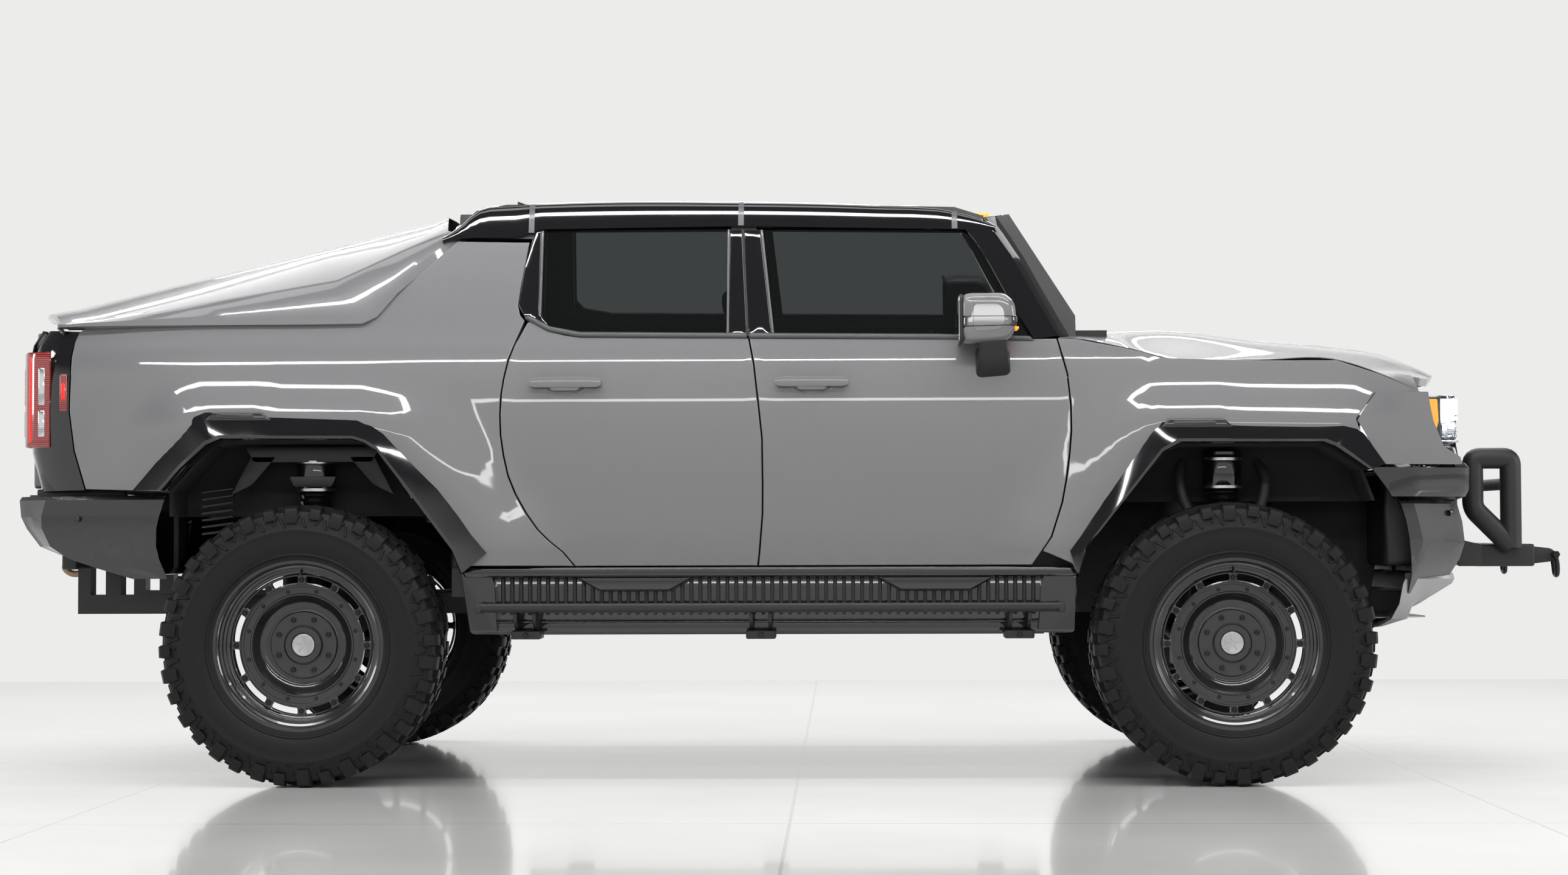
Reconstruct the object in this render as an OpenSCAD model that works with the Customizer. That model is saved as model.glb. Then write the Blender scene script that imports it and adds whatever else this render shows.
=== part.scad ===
// Lifted off-road 4x4 with four doors, a short load bed under a fastback cover and a bull bar.
// +X is forward, +Y is the driver's left and +Z is up. The vehicle stands on z = 0.

/* [Overall] */
// Distance between the axles
wheelbase = 3444; // [2800:1:4200]
// From the rear axle to the rearmost face of the bumper
rear_overhang = 1150; // [1100:1:1600]
// From the front axle to the tip of the recovery rings
front_overhang = 1376; // [1370:1:1700]
// Width across the door skins
body_width = 2080; // [1900:1:2500]
// How far the body is raised on its suspension, above the standard height
lift = 0; // [-60:1:200]

/* [Wheels] */
// Outside diameter of the tyre
tyre_d = 1040; // [860:1:1060]
// Width of the tyre
tyre_w = 340; // [260:1:350]
// Distance between the wheel centre planes on one axle
track = 1990; // [1900:1:2100]
// Diameter of the bead seat of the rim
bead_d = 610; // [500:1:620]
// Diameter of the outer lip of the rim
lip_d = 648; // [630:1:700]
// Width between the outer faces of the rim's lips
rim_w = 292; // [240:1:300]
// How far the wheel disc's outer face sits outside the wheel centre plane
disc_offset = 20; // [0:1:60]
// Thickness of the wheel disc
disc_t = 30; // [16:1:50]
// Number of wheel studs
lug_count = 8; // [5:1:10]
// Pitch circle of the wheel studs
lug_pcd = 200; // [150:1:240]
// Diameter of the holes for the wheel studs
lug_hole_d = 17; // [12:1:24]
// Diameter of the stub axle
stub_d = 60; // [40:1:80]

/* [Body] */
// Thickness of a door from its skin to its inner trim
door_t = 115; // [80:1:140]
// Thickness of the outer part of a door, which fills the whole door cut
door_skin_t = 35; // [20:1:50]
// How far the inner part of a door steps in from the outer part
door_step = 16; // [12:1:30]
// Shut line around doors and lids
shut_gap = 6; // [5:1:10]
// Thickness of wings, quarter panels and lids
panel_t = 60; // [30:1:80]
// Thickness of the pillars behind the doors
pillar_t = 60; // [40:1:90]
// Thickness of glass
glass_t = 6; // [4:1:10]
// How far the glass sits inside the body skin
glass_inset = 6; // [2:1:12]
// How far a wheel flare stands out from the body skin
flare_out = 60; // [30:1:90]
// Thickness of floors and bulkheads
floor_t = 40; // [20:1:60]

/* [Fittings] */
// Diameter of the bull bar's main tube
bar_tube_d = 81; // [50:1:90]
// Diameter of the bull bar's light cross tube
bar_cross_d = 46; // [30:1:60]
// Spacing of the bull bar's two hoops
hoop_spacing = 1100; // [800:1:1300]
// Outside size of the square tow receiver
receiver_out = 76; // [60:1:90]
// Inside size of the square tow receiver
receiver_in = 51; // [40:1:55]
// Diameter of the tow receiver's pin hole
receiver_pin_d = 16; // [12:1:20]
// Diameter of the steering pivots
kingpin_d = 30; // [20:1:40]
// Radial play of a turning shaft in its bearing
running_play = 0.05; // [0.02:0.01:0.1]
// Gap between pieces that rest on each other
seat_gap = 0.3; // [0.1:0.1:0.5]

/* [Hidden] */

$fn = 64;
front_x = wheelbase / 2;
rear_x = -wheelbase / 2;
half_w = body_width / 2;
hub_z = tyre_d / 2;
// Heights of the body are drawn with the wheel centres at this height
hub_datum = 520;
body_rise = hub_z - hub_datum + lift;
x_shift = (rear_overhang - front_overhang) / 2;
tail_x = rear_x - rear_overhang;
tip_x = front_x + front_overhang;
wheel_y = track / 2;

// Inset from the widest plane, and height, of the body's side from sill to roof
side_profile = [
    [18, 780], [6, 1000], [0, 1250], [0, 1420], [10, 1560], [40, 1655], [168, 2090], [196, 2184]
];
roof_edge_z = 2184;
cover_z = 1724;
sill_top_z = 802;
door_low_z = 808;
glass_low_z = 1600;
glass_top_z = 2088;
rail_low_z = 2096;
floor_z = 695;
bulkhead_x = rear_x + 542;
firewall_x = front_x - 592;
frame_t0 = door_t + seat_gap;
frame_t1 = frame_t0 + pillar_t;

// Middle door seam, from sill to belt, where the two doors' outlines meet
seam = [[-29, 808], [-23, 865], [-12, 1106], [-13, 1281], [-25, 1398], [-43, 1573], [-62, 1655]];
// Front edge of the front door, from belt to sill, measured from the front axle
front_cut = [
    [-636, 1655], [-630, 1633], [-601, 1546], [-589, 1400], [-595, 1226], [-621, 1051],
    [-665, 906], [-700, 862], [-735, 808]
];
// Rear edge of the rear door, from sill to belt, measured from the rear axle
rear_cut = [
    [1011, 808], [967, 862], [873, 944], [791, 1075], [746, 1220], [733, 1367], [747, 1513],
    [781, 1630], [819, 1718]
];
// Top edge of the rear door, from its rear corner forward, measured from the rear axle
rear_belt = [[826, 1736], [908, 1692], [1026, 1668]];
// Opening of the front and rear wheel arches, from the rear foot over the top to the front foot
front_arch = [
    [-560, 763], [-540, 878], [-439, 1022], [-237, 1239], [-180, 1262], [337, 1262], [423, 1212],
    [495, 1169]
];
rear_arch = [
    [-520, 1093], [-355, 1274], [-288, 1286], [208, 1284], [281, 1241], [429, 1044], [561, 870],
    [591, 783]
];
// Outer edge of the wheel flares, in the same order
front_flare = [
    [-598, 869], [-554, 921], [-295, 1326], [-260, 1360], [-36, 1361], [7, 1338], [424, 1327],
    [495, 1284], [566, 1178]
];
rear_flare = [
    [-637, 1093], [-536, 1216], [-398, 1382], [-368, 1394], [-158, 1397], [-128, 1371], [207, 1363],
    [310, 1319], [516, 1102], [633, 928], [730, 862]
];

function moved(pts, dx) = [for (p = pts) [p[0] + dx, p[1]]];
function turned_round(pts) = [for (i = [len(pts) - 1:-1:0]) pts[i]];
function unit(v) = v / norm(v);
// Outward normal of an edge of an outline that runs counter-clockwise
function edge_normal(a, b) = unit([b[1] - a[1], a[0] - b[0]]);
function doubled_area(pts) = let (n = len(pts))
    [for (i = 0, s = 0; i <= n; s = i < n ? s + cross(pts[i], pts[(i + 1) % n]) : s, i = i + 1) s][n];
// Outline drawn in by a constant distance, with mitred corners
function drawn_in(pts, d) =
    let (n = len(pts), turn = doubled_area(pts) > 0 ? 1 : -1)
    [for (i = [0:n - 1])
        let (
            n1 = edge_normal(pts[(i + n - 1) % n], pts[i]) * turn,
            n2 = edge_normal(pts[i], pts[(i + 1) % n]) * turn
        )
        pts[i] - (n1 + n2) * d / (1 + n1 * n2)];

// Section of a layer of the body's side, between two depths under the skin
function side_layer(t_out, t_in) = concat(
    [for (p = side_profile) [t_out + p[0] - half_w, p[1]]],
    [for (p = turned_round(side_profile)) [t_in + p[0] - half_w, p[1]]]
);

module in_frame() {
    translate([x_shift, 0, body_rise]) children();
}

module both_sides() {
    children();
    mirror([0, 1, 0]) children();
}

// Plate with an outline in length and height, between two distances right of the centre line
module upright_plate(outline, y_in, y_out) {
    translate([0, -y_in, 0]) rotate([90, 0, 0]) linear_extrude(height = y_out - y_in) polygon(outline);
}

// Bar with an outline in width and height, between two stations along the vehicle
module long_bar(outline, x0, x1) {
    translate([x0, 0, 0]) rotate([90, 0, 90]) linear_extrude(height = x1 - x0) polygon(outline);
}

// Piece of the right-hand body side with a given outline, between two depths under the skin
module side_panel(outline, t_out, t_in) {
    intersection() {
        upright_plate(outline, 0, half_w + 2 * flare_out);
        long_bar(side_layer(t_out, t_in), tail_x, tip_x);
    }
}

// Round bar between two points
module rod(a, b, r) {
    v = b - a;
    translate(a)
        rotate([0, acos(v[2] / norm(v)), atan2(v[1], v[0])])
        cylinder(h = norm(v), r = r);
}

// Box between two corners
module block(lo, hi) {
    translate(lo) cube(hi - lo);
}

front_glass_outline = [
    [-30, glass_top_z], [-20, glass_top_z - 80], [28, 1655], [30, glass_low_z],
    [front_x - 737, glass_low_z], [front_x - 747, 1668], [front_x - 816, 1805],
    [front_x - 919, 2015], [front_x - 979, glass_top_z - 8]
];
rear_glass_outline = [
    [-140, glass_top_z], [-140, glass_low_z], [rear_x + 990, glass_low_z],
    [rear_x + 930, 1660], [rear_x + 877, 1700], [rear_x + 877, glass_top_z]
];
front_door_outline = concat(
    moved(seam, shut_gap / 2),
    moved(front_cut, front_x - shut_gap / 2)
);
rear_door_outline = concat(
    moved(turned_round(seam), -shut_gap / 2),
    moved(rear_cut, rear_x + shut_gap / 2),
    moved(rear_belt, rear_x + shut_gap / 2),
    [[-132, 1659]]
);

/* ---- cab ---- */

module cab_shell() {
    rail = [
        [rear_x + 553, rail_low_z], [front_x - 985, rail_low_z - 4], [front_x - 905, 2024],
        [front_x - 805, 1812], [front_x - 730, 1668], [front_x - 622, 1668], [front_x - 650, 1700],
        [front_x - 798, 1985], [front_x - 902, 2130], [front_x - 1010, 2165], [-95, roof_edge_z],
        [rear_x + 733, roof_edge_z], [rear_x + 619, 2160]
    ];
    screen_pillar = [
        [front_x - 902, 2130], [front_x - 800, 2142], [front_x - 560, 1744], [front_x - 560, 1660],
        [front_x - 730, 1660], [front_x - 905, 2024]
    ];
    middle_cover = [[-132, 1668], [-132, rail_low_z + 4], [-38, rail_low_z + 4], [14, 1668]];
    rear_cover = [
        [rear_x + 870, rail_low_z + 4], [rear_x + 870, 1724], [rear_x + 832, 1750],
        [rear_x + 800, 1790], [rear_x + 816, 1934], [rear_x + 836, 2048], [rear_x + 572, 2052],
        [rear_x + 553, rail_low_z + 4]
    ];
    ring = [
        [bulkhead_x, floor_z], [firewall_x, floor_z], [firewall_x, 1660], [front_x - 640, 1664],
        [front_x - 940, 2110], [front_x - 960, 2160], [bulkhead_x, 2160]
    ];
    front_opening = [
        [20, sill_top_z], [front_x - 775, sill_top_z], [front_x - 700, 920], [front_x - 650, 1100],
        [front_x - 625, 1300], [front_x - 630, 1500], [front_x - 670, 1640], [front_x - 700, 1680],
        [front_x - 950, 2060], [-30, 2070], [-30, 1700]
    ];
    rear_opening = [
        [-100, sill_top_z], [-130, 1700], [-130, 2070], [rear_x + 880, 2070], [rear_x + 880, 1710],
        [rear_x + 840, 1640], [rear_x + 775, 1500], [rear_x + 765, 1350], [rear_x + 780, 1200],
        [rear_x + 840, 1060], [rear_x + 940, 930], [rear_x + 1060, sill_top_z]
    ];
    inner_y = half_w - frame_t1;
    sill_y = half_w - panel_t - 25;
    color("dimgray") in_frame() {
        difference() {
            union() {
                both_sides() {
                    side_panel(rail, 0, frame_t1);
                    side_panel(screen_pillar, panel_t, frame_t1);
                    side_panel(middle_cover, 0, frame_t0 + 1);
                    side_panel(rear_cover, 0, frame_t0 + 1);
                    difference() {
                        side_panel(ring, frame_t0, frame_t1);
                        upright_plate(front_opening, 0, half_w);
                        upright_plate(rear_opening, 0, half_w);
                    }
                    block([bulkhead_x, -sill_y, floor_z], [firewall_x, 1 - inner_y, sill_top_z]);
                }
                block([bulkhead_x, -sill_y, floor_z], [firewall_x, sill_y, floor_z + floor_t]);
                block([bulkhead_x, -inner_y - 30, floor_z], [bulkhead_x + floor_t, inner_y + 30, 1720]);
                long_bar(
                    [[-inner_y - 20, 1700], [inner_y + 20, 1700], [inner_y - 118, 2150], [118 - inner_y, 2150]],
                    bulkhead_x, bulkhead_x + floor_t
                );
                block([firewall_x - floor_t, -inner_y - 30, floor_z], [firewall_x, inner_y + 30, 1660]);
                block([firewall_x - floor_t, -inner_y - 30, 1640], [front_x - 440, inner_y + 30, 1690]);
                for (bar = [[front_x - 962, front_x - 892], [-130, -60], [bulkhead_x, rear_x + 642]])
                    block([bar[0], -700, 2110], [bar[1], 700, 2150]);
            }
            block([bulkhead_x - 1, -620, 1700], [bulkhead_x + floor_t + 1, 620, 2040]);
        }
    }
}

/* ---- roof and fixed glass ---- */

module roof_panels() {
    inner = 650;
    front_edge = front_x - 1010;
    joint = 8;
    crown = [[8, 2150.3], [inner, 2150.3], [inner, 2190], [420, 2216], [8, 2226]];
    whole = concat(crown, [[-inner, 2190], [-inner, 2150.3]]);
    color("black") in_frame() {
        both_sides() {
            long_bar(crown, -95 + joint / 2, front_edge);
            long_bar(crown, rear_x + 832 + joint / 2, -95 - joint / 2);
        }
        long_bar(whole, bulkhead_x, rear_x + 832 - joint / 2);
        translate([rear_x + 555, 0, 2215]) difference() {
            rotate([90, 0, 0]) translate([0, 0, -14]) linear_extrude(height = 28)
                polygon([[0, 0], [262, 0], [180, 62], [60, 90], [0, 95]]);
        }
    }
}

module fixed_glass() {
    low = [front_x - 530, 1690 + seat_gap];
    high = [front_x - 792, 2144];
    lean = atan2(low[0] - high[0], high[1] - low[1]);
    tall = norm(high - low);
    color("darkslategray") in_frame() {
        translate([low[0], 0, low[1]]) rotate([0, -lean, 0])
            long_bar([[-770, 0], [770, 0], [672, tall], [-672, tall]], 0, glass_t);
        block(
            [bulkhead_x + 15, -620 + seat_gap, 1700 + seat_gap],
            [bulkhead_x + 15 + glass_t, 620 - seat_gap, 2040 - seat_gap]
        );
    }
}

/* ---- wings, bed and lids ---- */

// Everything right of the centre line that is lower than the doors' bottom edge
module below_doors() {
    block([tail_x, -half_w - 1, 0], [tip_x, 0, door_low_z]);
}

module front_wings() {
    outline = concat(
        moved(turned_round(front_cut), front_x + shut_gap / 2),
        [[front_x - 330, 1590], [front_x - 248, 1570], [front_x + 394, 1562], [front_x + 733, 1440],
         [front_x + 747, 1350], [front_x + 782, 1248], [front_x + 790, 1180]],
        [[front_x + 560, 1180]],
        moved(turned_round(front_arch), front_x),
        []
    );
    color("gray") in_frame() both_sides() {
        difference() {
            side_panel(outline, 0, panel_t);
            below_doors();
        }
        intersection() {
            upright_plate(drawn_in(outline, 0.5), 0, half_w);
            block([front_x - 560, -half_w + panel_t - 1, 1480], [front_x + 740, -915, 1700]);
        }
    }
}

module bed_sides() {
    outline = concat(
        moved(turned_round(rear_cut), rear_x - shut_gap / 2),
        moved(turned_round(rear_arch), rear_x),
        [[rear_x - 640, 1094], [rear_x - 821, 1099], [rear_x - 867, 1246], [rear_x - 887, 1392],
         [rear_x - 886, 1597], [rear_x - 878, 1656], [rear_x - 849, 1694],
         [rear_x - 849, cover_z - seat_gap], [rear_x + 206, cover_z - seat_gap], [rear_x + 257, 1742], [rear_x + 330, 1832], [rear_x + 560, 2044],
         [rear_x + 828, 2040], [rear_x + 808, 1934], [rear_x + 792, 1790], [rear_x + 797, 1752]]
    );
    color("gray") in_frame() both_sides() difference() {
        side_panel(outline, 0, panel_t);
        below_doors();
    }
}

module bed_tub() {
    rear_end = rear_x - 1013 + seat_gap;
    side = 850;
    wall = 20;
    front_end = bulkhead_x - 1;
    color("black") in_frame() difference() {
        union() {
            block([rear_end, -side - wall, 1100], [front_end, side + wall, 1690]);
            block([rear_x - 815, -half_w + panel_t + 60, 1680], [front_end, half_w - panel_t - 60, 1700]);
        }
        difference() {
            block([rear_end - 1, -side, 1100 + wall], [front_end - wall, side, 1701]);
            both_sides() block([rear_x - 565, -side - 1, 1000], [rear_x + 430, -530, 1345]);
        }
        both_sides() block([rear_x - 545, -side - wall - 1, 1000], [rear_x + 410, -548, 1325]);
    }
}

module front_trunk() {
    side = 540;
    color("black") in_frame() difference() {
        union() {
            block([firewall_x + 30, -side, 1130], [front_x + 560, side, 1440]);
            block([firewall_x + 30, -905, 1425], [front_x + 600, 905, 1440]);
        }
        block([firewall_x + 50, -side + 20, 1150], [front_x + 540, side - 20, 1441]);
    }
}

module hood() {
    seam_line = [
        [front_x + 725, 1450], [front_x + 403, 1572], [front_x + 110, 1577], [front_x - 242, 1585],
        [front_x - 325, 1605], [front_x - 420, 1690]
    ];
    top_line = [
        [front_x - 420, 1712], [front_x - 385, 1714], [front_x - 196, 1700], [front_x + 170, 1672],
        [front_x + 475, 1645], [front_x + 673, 1613], [front_x + 839, 1552], [front_x + 961, 1507],
        [front_x + 978, 1476], [front_x + 968, 1458]
    ];
    across = [
        [-906, 1400], [-906, 1590], [-870, 1640], [-760, 1690], [-520, 1722], [520, 1722],
        [760, 1690], [870, 1640], [906, 1590], [906, 1400]
    ];
    lid_t = 45;
    color("gray") in_frame() difference() {
        intersection() {
            upright_plate(concat(seam_line, top_line), -910, 910);
            long_bar(across, front_x - 421, front_x + 980);
        }
        intersection() {
            translate([0, 0, -lid_t]) upright_plate(
                concat([[front_x + 900, 1300], [front_x - 375, 1300]], [[front_x - 375, 1712]],
                    [for (i = [2:6]) top_line[i]]),
                -880, 880
            );
            translate([0, 0, -lid_t]) long_bar(
                [for (p = across) [p[0] * 0.95, p[1]]], front_x - 421, front_x + 900
            );
        }
    }
}

module bed_cover() {
    low = [
        [rear_x - 1080, cover_z], [rear_x + 202, cover_z], [rear_x + 250, cover_z + 26],
        [rear_x + 324, 1845], [rear_x + 536, 2038]
    ];
    high = [
        [rear_x + 536, 2098], [rear_x + 478, 2162], [rear_x + 433, 2140], [rear_x + 34, 2044],
        [rear_x - 364, 1952], [rear_x - 978, 1807], [rear_x - 1071, 1798], [rear_x - 1095, 1782]
    ];
    lid_t = 40;
    half_section = [for (p = side_profile) if (p[1] > 1600) [half_w - p[0], p[1]]];
    module filled(t, drop) {
        intersection() {
            translate([0, 0, -drop]) upright_plate(concat(low, high), -half_w, half_w);
            long_bar(
                concat(
                    [for (p = half_section) [p[0] - t, p[1]]],
                    [for (p = turned_round(half_section)) [t - p[0], p[1]]]
                ),
                tail_x, bulkhead_x
            );
        }
    }
    color("gray") in_frame() difference() {
        filled(5, 0);
        intersection() {
            filled(5 + lid_t, lid_t);
            block([rear_x - 1050, -half_w, 1600], [rear_x + 500, half_w, 2200]);
        }
        block([rear_x - 1040, -half_w + 100, 1700], [rear_x + 180, half_w - 100, 1740]);
    }
}

module tailgate() {
    color("gray") in_frame()
        block([rear_x - 1078, -880, 1105], [rear_x - 1013, 880, 1705]);
}

/* ---- doors ---- */

module door(outline, handle_x) {
    in_frame() difference() {
        union() {
            side_panel(outline, 0, door_skin_t);
            side_panel(drawn_in(outline, door_step), door_skin_t - 1, door_t);
            block([handle_x - 135, -half_w - 32, 1474], [handle_x + 135, -half_w - 12, 1512]);
            for (post = [-90, 90])
                block([handle_x + post - 12, -half_w - 14, 1480], [handle_x + post + 12, -half_w + 20, 1506]);
        }
        side_panel(
            [[rear_x, glass_low_z - seat_gap], [front_x, glass_low_z - seat_gap],
             [front_x, rail_low_z], [rear_x, rail_low_z]],
            glass_inset - seat_gap, glass_inset + glass_t + seat_gap
        );
    }
}

module door_glass(outline) {
    in_frame() side_panel(outline, glass_inset, glass_inset + glass_t);
}

module mirror_head() {
    arm = [
        [front_x - 934, 1500], [front_x - 900, 1640], [front_x - 810, 1640], [front_x - 800, 1500],
        [front_x - 830, 1487]
    ];
    in_frame() {
        upright_plate(
            [[front_x - 1006, 1630], [front_x - 1000, 1812], [front_x - 800, 1800], [front_x - 783, 1640],
             [front_x - 800, 1622]],
            half_w - 20, half_w + 170
        );
        difference() {
            upright_plate(arm, half_w - 30, half_w + 60);
            side_panel(drawn_in(arm, -5), -seat_gap, door_t);
        }
    }
}

module door_front_right() { color("gray") door(front_door_outline, 172); }
module door_front_left() { color("gray") mirror([0, 1, 0]) door(front_door_outline, 172); }
module door_rear_right() { color("gray") door(rear_door_outline, rear_x + 977); }
module door_rear_left() { color("gray") mirror([0, 1, 0]) door(rear_door_outline, rear_x + 977); }
module glass_front_right() { color("black") door_glass(front_glass_outline); }
module glass_front_left() { color("black") mirror([0, 1, 0]) door_glass(front_glass_outline); }
module glass_rear_right() { color("black") door_glass(rear_glass_outline); }
module glass_rear_left() { color("black") mirror([0, 1, 0]) door_glass(rear_glass_outline); }
module mirror_right() { color("gray") mirror_head(); }
module mirror_left() { color("gray") mirror([0, 1, 0]) mirror_head(); }

/* ---- bumpers and lamps ---- */

module front_bumper() {
    side = [
        [front_x + 515, 1172], [front_x + 858, 1172], [front_x + 925, 1120], [front_x + 930, 940],
        [front_x + 888, 882], [front_x + 844, 766], [front_x + 753, 640], [front_x + 640, 572],
        [front_x + 585, 590], [front_x + 636, 681], [front_x + 650, 767], [front_x + 609, 1011],
        [front_x + 515, 1160]
    ];
    plan = [
        [front_x + 500, -half_w + 5], [front_x + 700, -half_w + 20], [front_x + 860, -half_w + 180],
        [front_x + 932, -half_w + 420], [front_x + 932, half_w - 420], [front_x + 860, half_w - 180],
        [front_x + 700, half_w - 20], [front_x + 500, half_w - 5]
    ];
    color("black") in_frame() {
        difference() {
            union() {
                intersection() {
                    upright_plate(side, -half_w, half_w);
                    translate([0, 0, 500]) linear_extrude(height = 700) polygon(plan);
                }
                block([front_x + 745, -640, 1170], [front_x + 850, 640, 1440]);
                block([front_x + 720, -905, 1170], [front_x + 746, 905, 1450 - seat_gap]);
            }
            block([front_x + 500, -half_w + 150, 500], [front_x + 760, half_w - 150, 1100]);
            block([front_x + 500, -half_w + 60, 1090], [front_x + 715, half_w - 60, 1180]);
            both_sides() block([front_x + 840, -505, 790], [front_x + 1000, -395, 910]);
        }
    }
}

module headlamps() {
    color("white") in_frame() both_sides()
        upright_plate(
            [[front_x + 746 + seat_gap, 1250], [front_x + 870, 1262], [front_x + 890, 1432],
             [front_x + 746 + seat_gap, 1438]],
            645, 930
        );
}

ring_pin_r = 15;

// Towing tab on the front of the lower box, with the ring that hangs from its pin
module recovery_ring() {
    hole = [tip_x - 34, -420, 836];
    spread = 32;
    wire = 12;
    difference() {
        block([front_x + 1240, hole[1] - 14, 796], [tip_x, hole[1] + 14, 876]);
        translate(hole) rotate([90, 0, 0])
            cylinder(h = 40, r = ring_pin_r + seat_gap, center = true);
    }
    translate(hole) {
        rotate([90, 0, 0]) cylinder(h = 2 * (spread + wire) + 10, r = ring_pin_r, center = true);
        for (s = [-1, 1]) translate([0, s * spread, -66]) cylinder(h = 66, r = wire);
        translate([0, 0, -66]) rotate([90, 180, 90])
            rotate_extrude(angle = 180) translate([spread, 0]) circle(wire);
    }
}

module bull_bar() {
    y = hoop_spacing / 2;
    r = bar_tube_d / 2;
    back = front_x + 1001 + r - 40;
    front = front_x + 1147 + r;
    top = 1252;
    color("black") in_frame() {
        both_sides() {
            rod([back, -y, 1020], [back, -y, top], r);
            rod([back, -y, top], [front - r, -y, top], r);
            rod([front - r, -y, top], [front - r, -y, 880], r);
            rod([back, -y, 1020], [front - r, -y, 880], r);
            for (p = [[back, top], [front - r, top], [front - r, 880], [back, 1020]])
                translate([p[0], -y, p[1]]) sphere(r);
            block([front_x + 840 + seat_gap, -500, 800], [front_x + 1020, -400, 900]);
            recovery_ring();
        }
        rod([front - r, -y, 1113], [front - r, y, 1113], bar_cross_d / 2);
        block([front_x + 1014, 30 - y, 793], [front_x + 1246, y - 30, 880]);
    }
}

module rear_bumper() {
    side = [
        [rear_x - 1150, 1085], [rear_x - 525, 1085], [rear_x - 558, 925], [rear_x - 526, 750],
        [rear_x - 659, 773], [rear_x - 777, 802], [rear_x - 895, 842], [rear_x - 998, 888],
        [rear_x - 1080, 950], [rear_x - 1150, 1000]
    ];
    plan = [
        [rear_x - 500, -half_w + 5], [rear_x - 1000, -half_w + 30], [rear_x - 1120, -half_w + 160],
        [rear_x - 1150, -half_w + 400], [rear_x - 1150, half_w - 400], [rear_x - 1120, half_w - 160],
        [rear_x - 1000, half_w - 30], [rear_x - 500, half_w - 5]
    ];
    o = receiver_out / 2;
    i = receiver_in / 2;
    color("dimgray") in_frame() difference() {
        union() {
            difference() {
                intersection() {
                    upright_plate(side, -half_w, half_w);
                    translate([0, 0, 700]) linear_extrude(height = 400) polygon(plan);
                }
                block([rear_x - 1010, -half_w + 150, 700], [rear_x - 400, half_w - 150, 1100]);
            }
            block([rear_x - 1130, -o, 960 - o], [rear_x - 960, o, 960 + o]);
        }
        block([rear_x - 1200, -i, 960 - i], [rear_x - 990, i, 960 + i]);
        block([rear_x - 1160, -o - 60, 800], [rear_x - 1120, o + 60, 1010]);
        translate([rear_x - 985, 0, 960]) rotate([90, 0, 0])
            cylinder(h = receiver_out + 10, r = receiver_pin_d / 2, center = true);
    }
}

module tail_lamps() {
    color("red") in_frame() both_sides()
        side_panel(
            [[rear_x - 1066, 1619], [rear_x - 972, 1613], [rear_x - 967, 1263], [rear_x - 1060, 1263]],
            2, 120
        );
}

module side_cladding() {
    tail = [
        [rear_x - 822, 1085 + seat_gap], [rear_x - 873, 1246], [rear_x - 893, 1392], [rear_x - 892, 1597],
        [rear_x - 884, 1656], [rear_x - 856, 1700], [rear_x - 1012, 1700], [rear_x - 1041, 1645],
        [rear_x - 1054, 1512], [rear_x - 1044, 1256], [rear_x - 1020, 1158], [rear_x - 1004, 1085 + seat_gap]
    ];
    lamp = [[rear_x - 1100, 1620], [rear_x - 966, 1620], [rear_x - 966, 1262], [rear_x - 1100, 1262]];
    sill = [
        [5 - half_w, sill_top_z], [5 - half_w, 700], [40 - half_w, 600], [60 - half_w, 556],
        [200 - half_w, 556], [200 - half_w, 688], [38 - half_w, 688], [38 - half_w, sill_top_z]
    ];
    color("black") in_frame() both_sides() {
        side_panel(concat(moved(front_flare, front_x), moved(turned_round(front_arch), front_x)),
            -flare_out, -seat_gap);
        side_panel(concat(moved(rear_flare, rear_x), moved(turned_round(rear_arch), rear_x)),
            -flare_out, -seat_gap);
        difference() {
            side_panel(tail, 4, 145);
            side_panel(lamp, -10, 121);
            block([rear_x - 1100, -886, 1000], [rear_x - 800, -800, 1720]);
        }
        long_bar(sill, rear_x + 612, front_x - 582);
    }
}

module wheel_liners() {
    wall = 12;
    front = concat(moved(front_arch, front_x), [[front_x + 650, 767], [front_x + 600, 700],
        [front_x - 560, 700]]);
    rear = concat(moved(rear_arch, rear_x), [[rear_x - 520, 700]]);
    inner_y = 740;
    module liner(outline, axle, foot_z) {
        depth = half_w - inner_y;
        difference() {
            side_panel(outline, panel_t + seat_gap, depth);
            side_panel(drawn_in(outline, wall), 0, depth - wall);
            block([axle - 700, -half_w, 600], [axle + 700, 0, foot_z]);
        }
        block([axle - 240, -inner_y - wall, strut_top_z], [axle - 20, -550, strut_top_z + wall]);
    }
    color("black") in_frame() both_sides() {
        liner(front, front_x, 1045);
        liner(rear, rear_x, 1000);
    }
}

module running_boards() {
    stations = [rear_x + 835, -18, front_x - 785];
    color("black") in_frame() both_sides() {
        difference() {
            block([rear_x + 656, -half_w - 115, 636], [front_x - 625, -half_w - 12, 674]);
            block([rear_x + 666, -half_w - 105, 660], [front_x - 635, -half_w - 22, 675]);
        }
        for (x = stations) {
            block([x - 50, -half_w - 50, 536], [x + 50, -half_w + 190, 555.7]);
            block([x - 50, -half_w - 50, 536], [x + 50, -half_w - 25, 640]);
        }
    }
}

/* ---- chassis ---- */

module battery_pack() {
    color("silver") in_frame()
        block([rear_x + 672, -half_w + 300, 545], [front_x - 672, half_w - 300, floor_z - seat_gap]);
}

rail_in = 380;
rail_out = 460;
rail_low = 620;
unit_half = 230;

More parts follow.
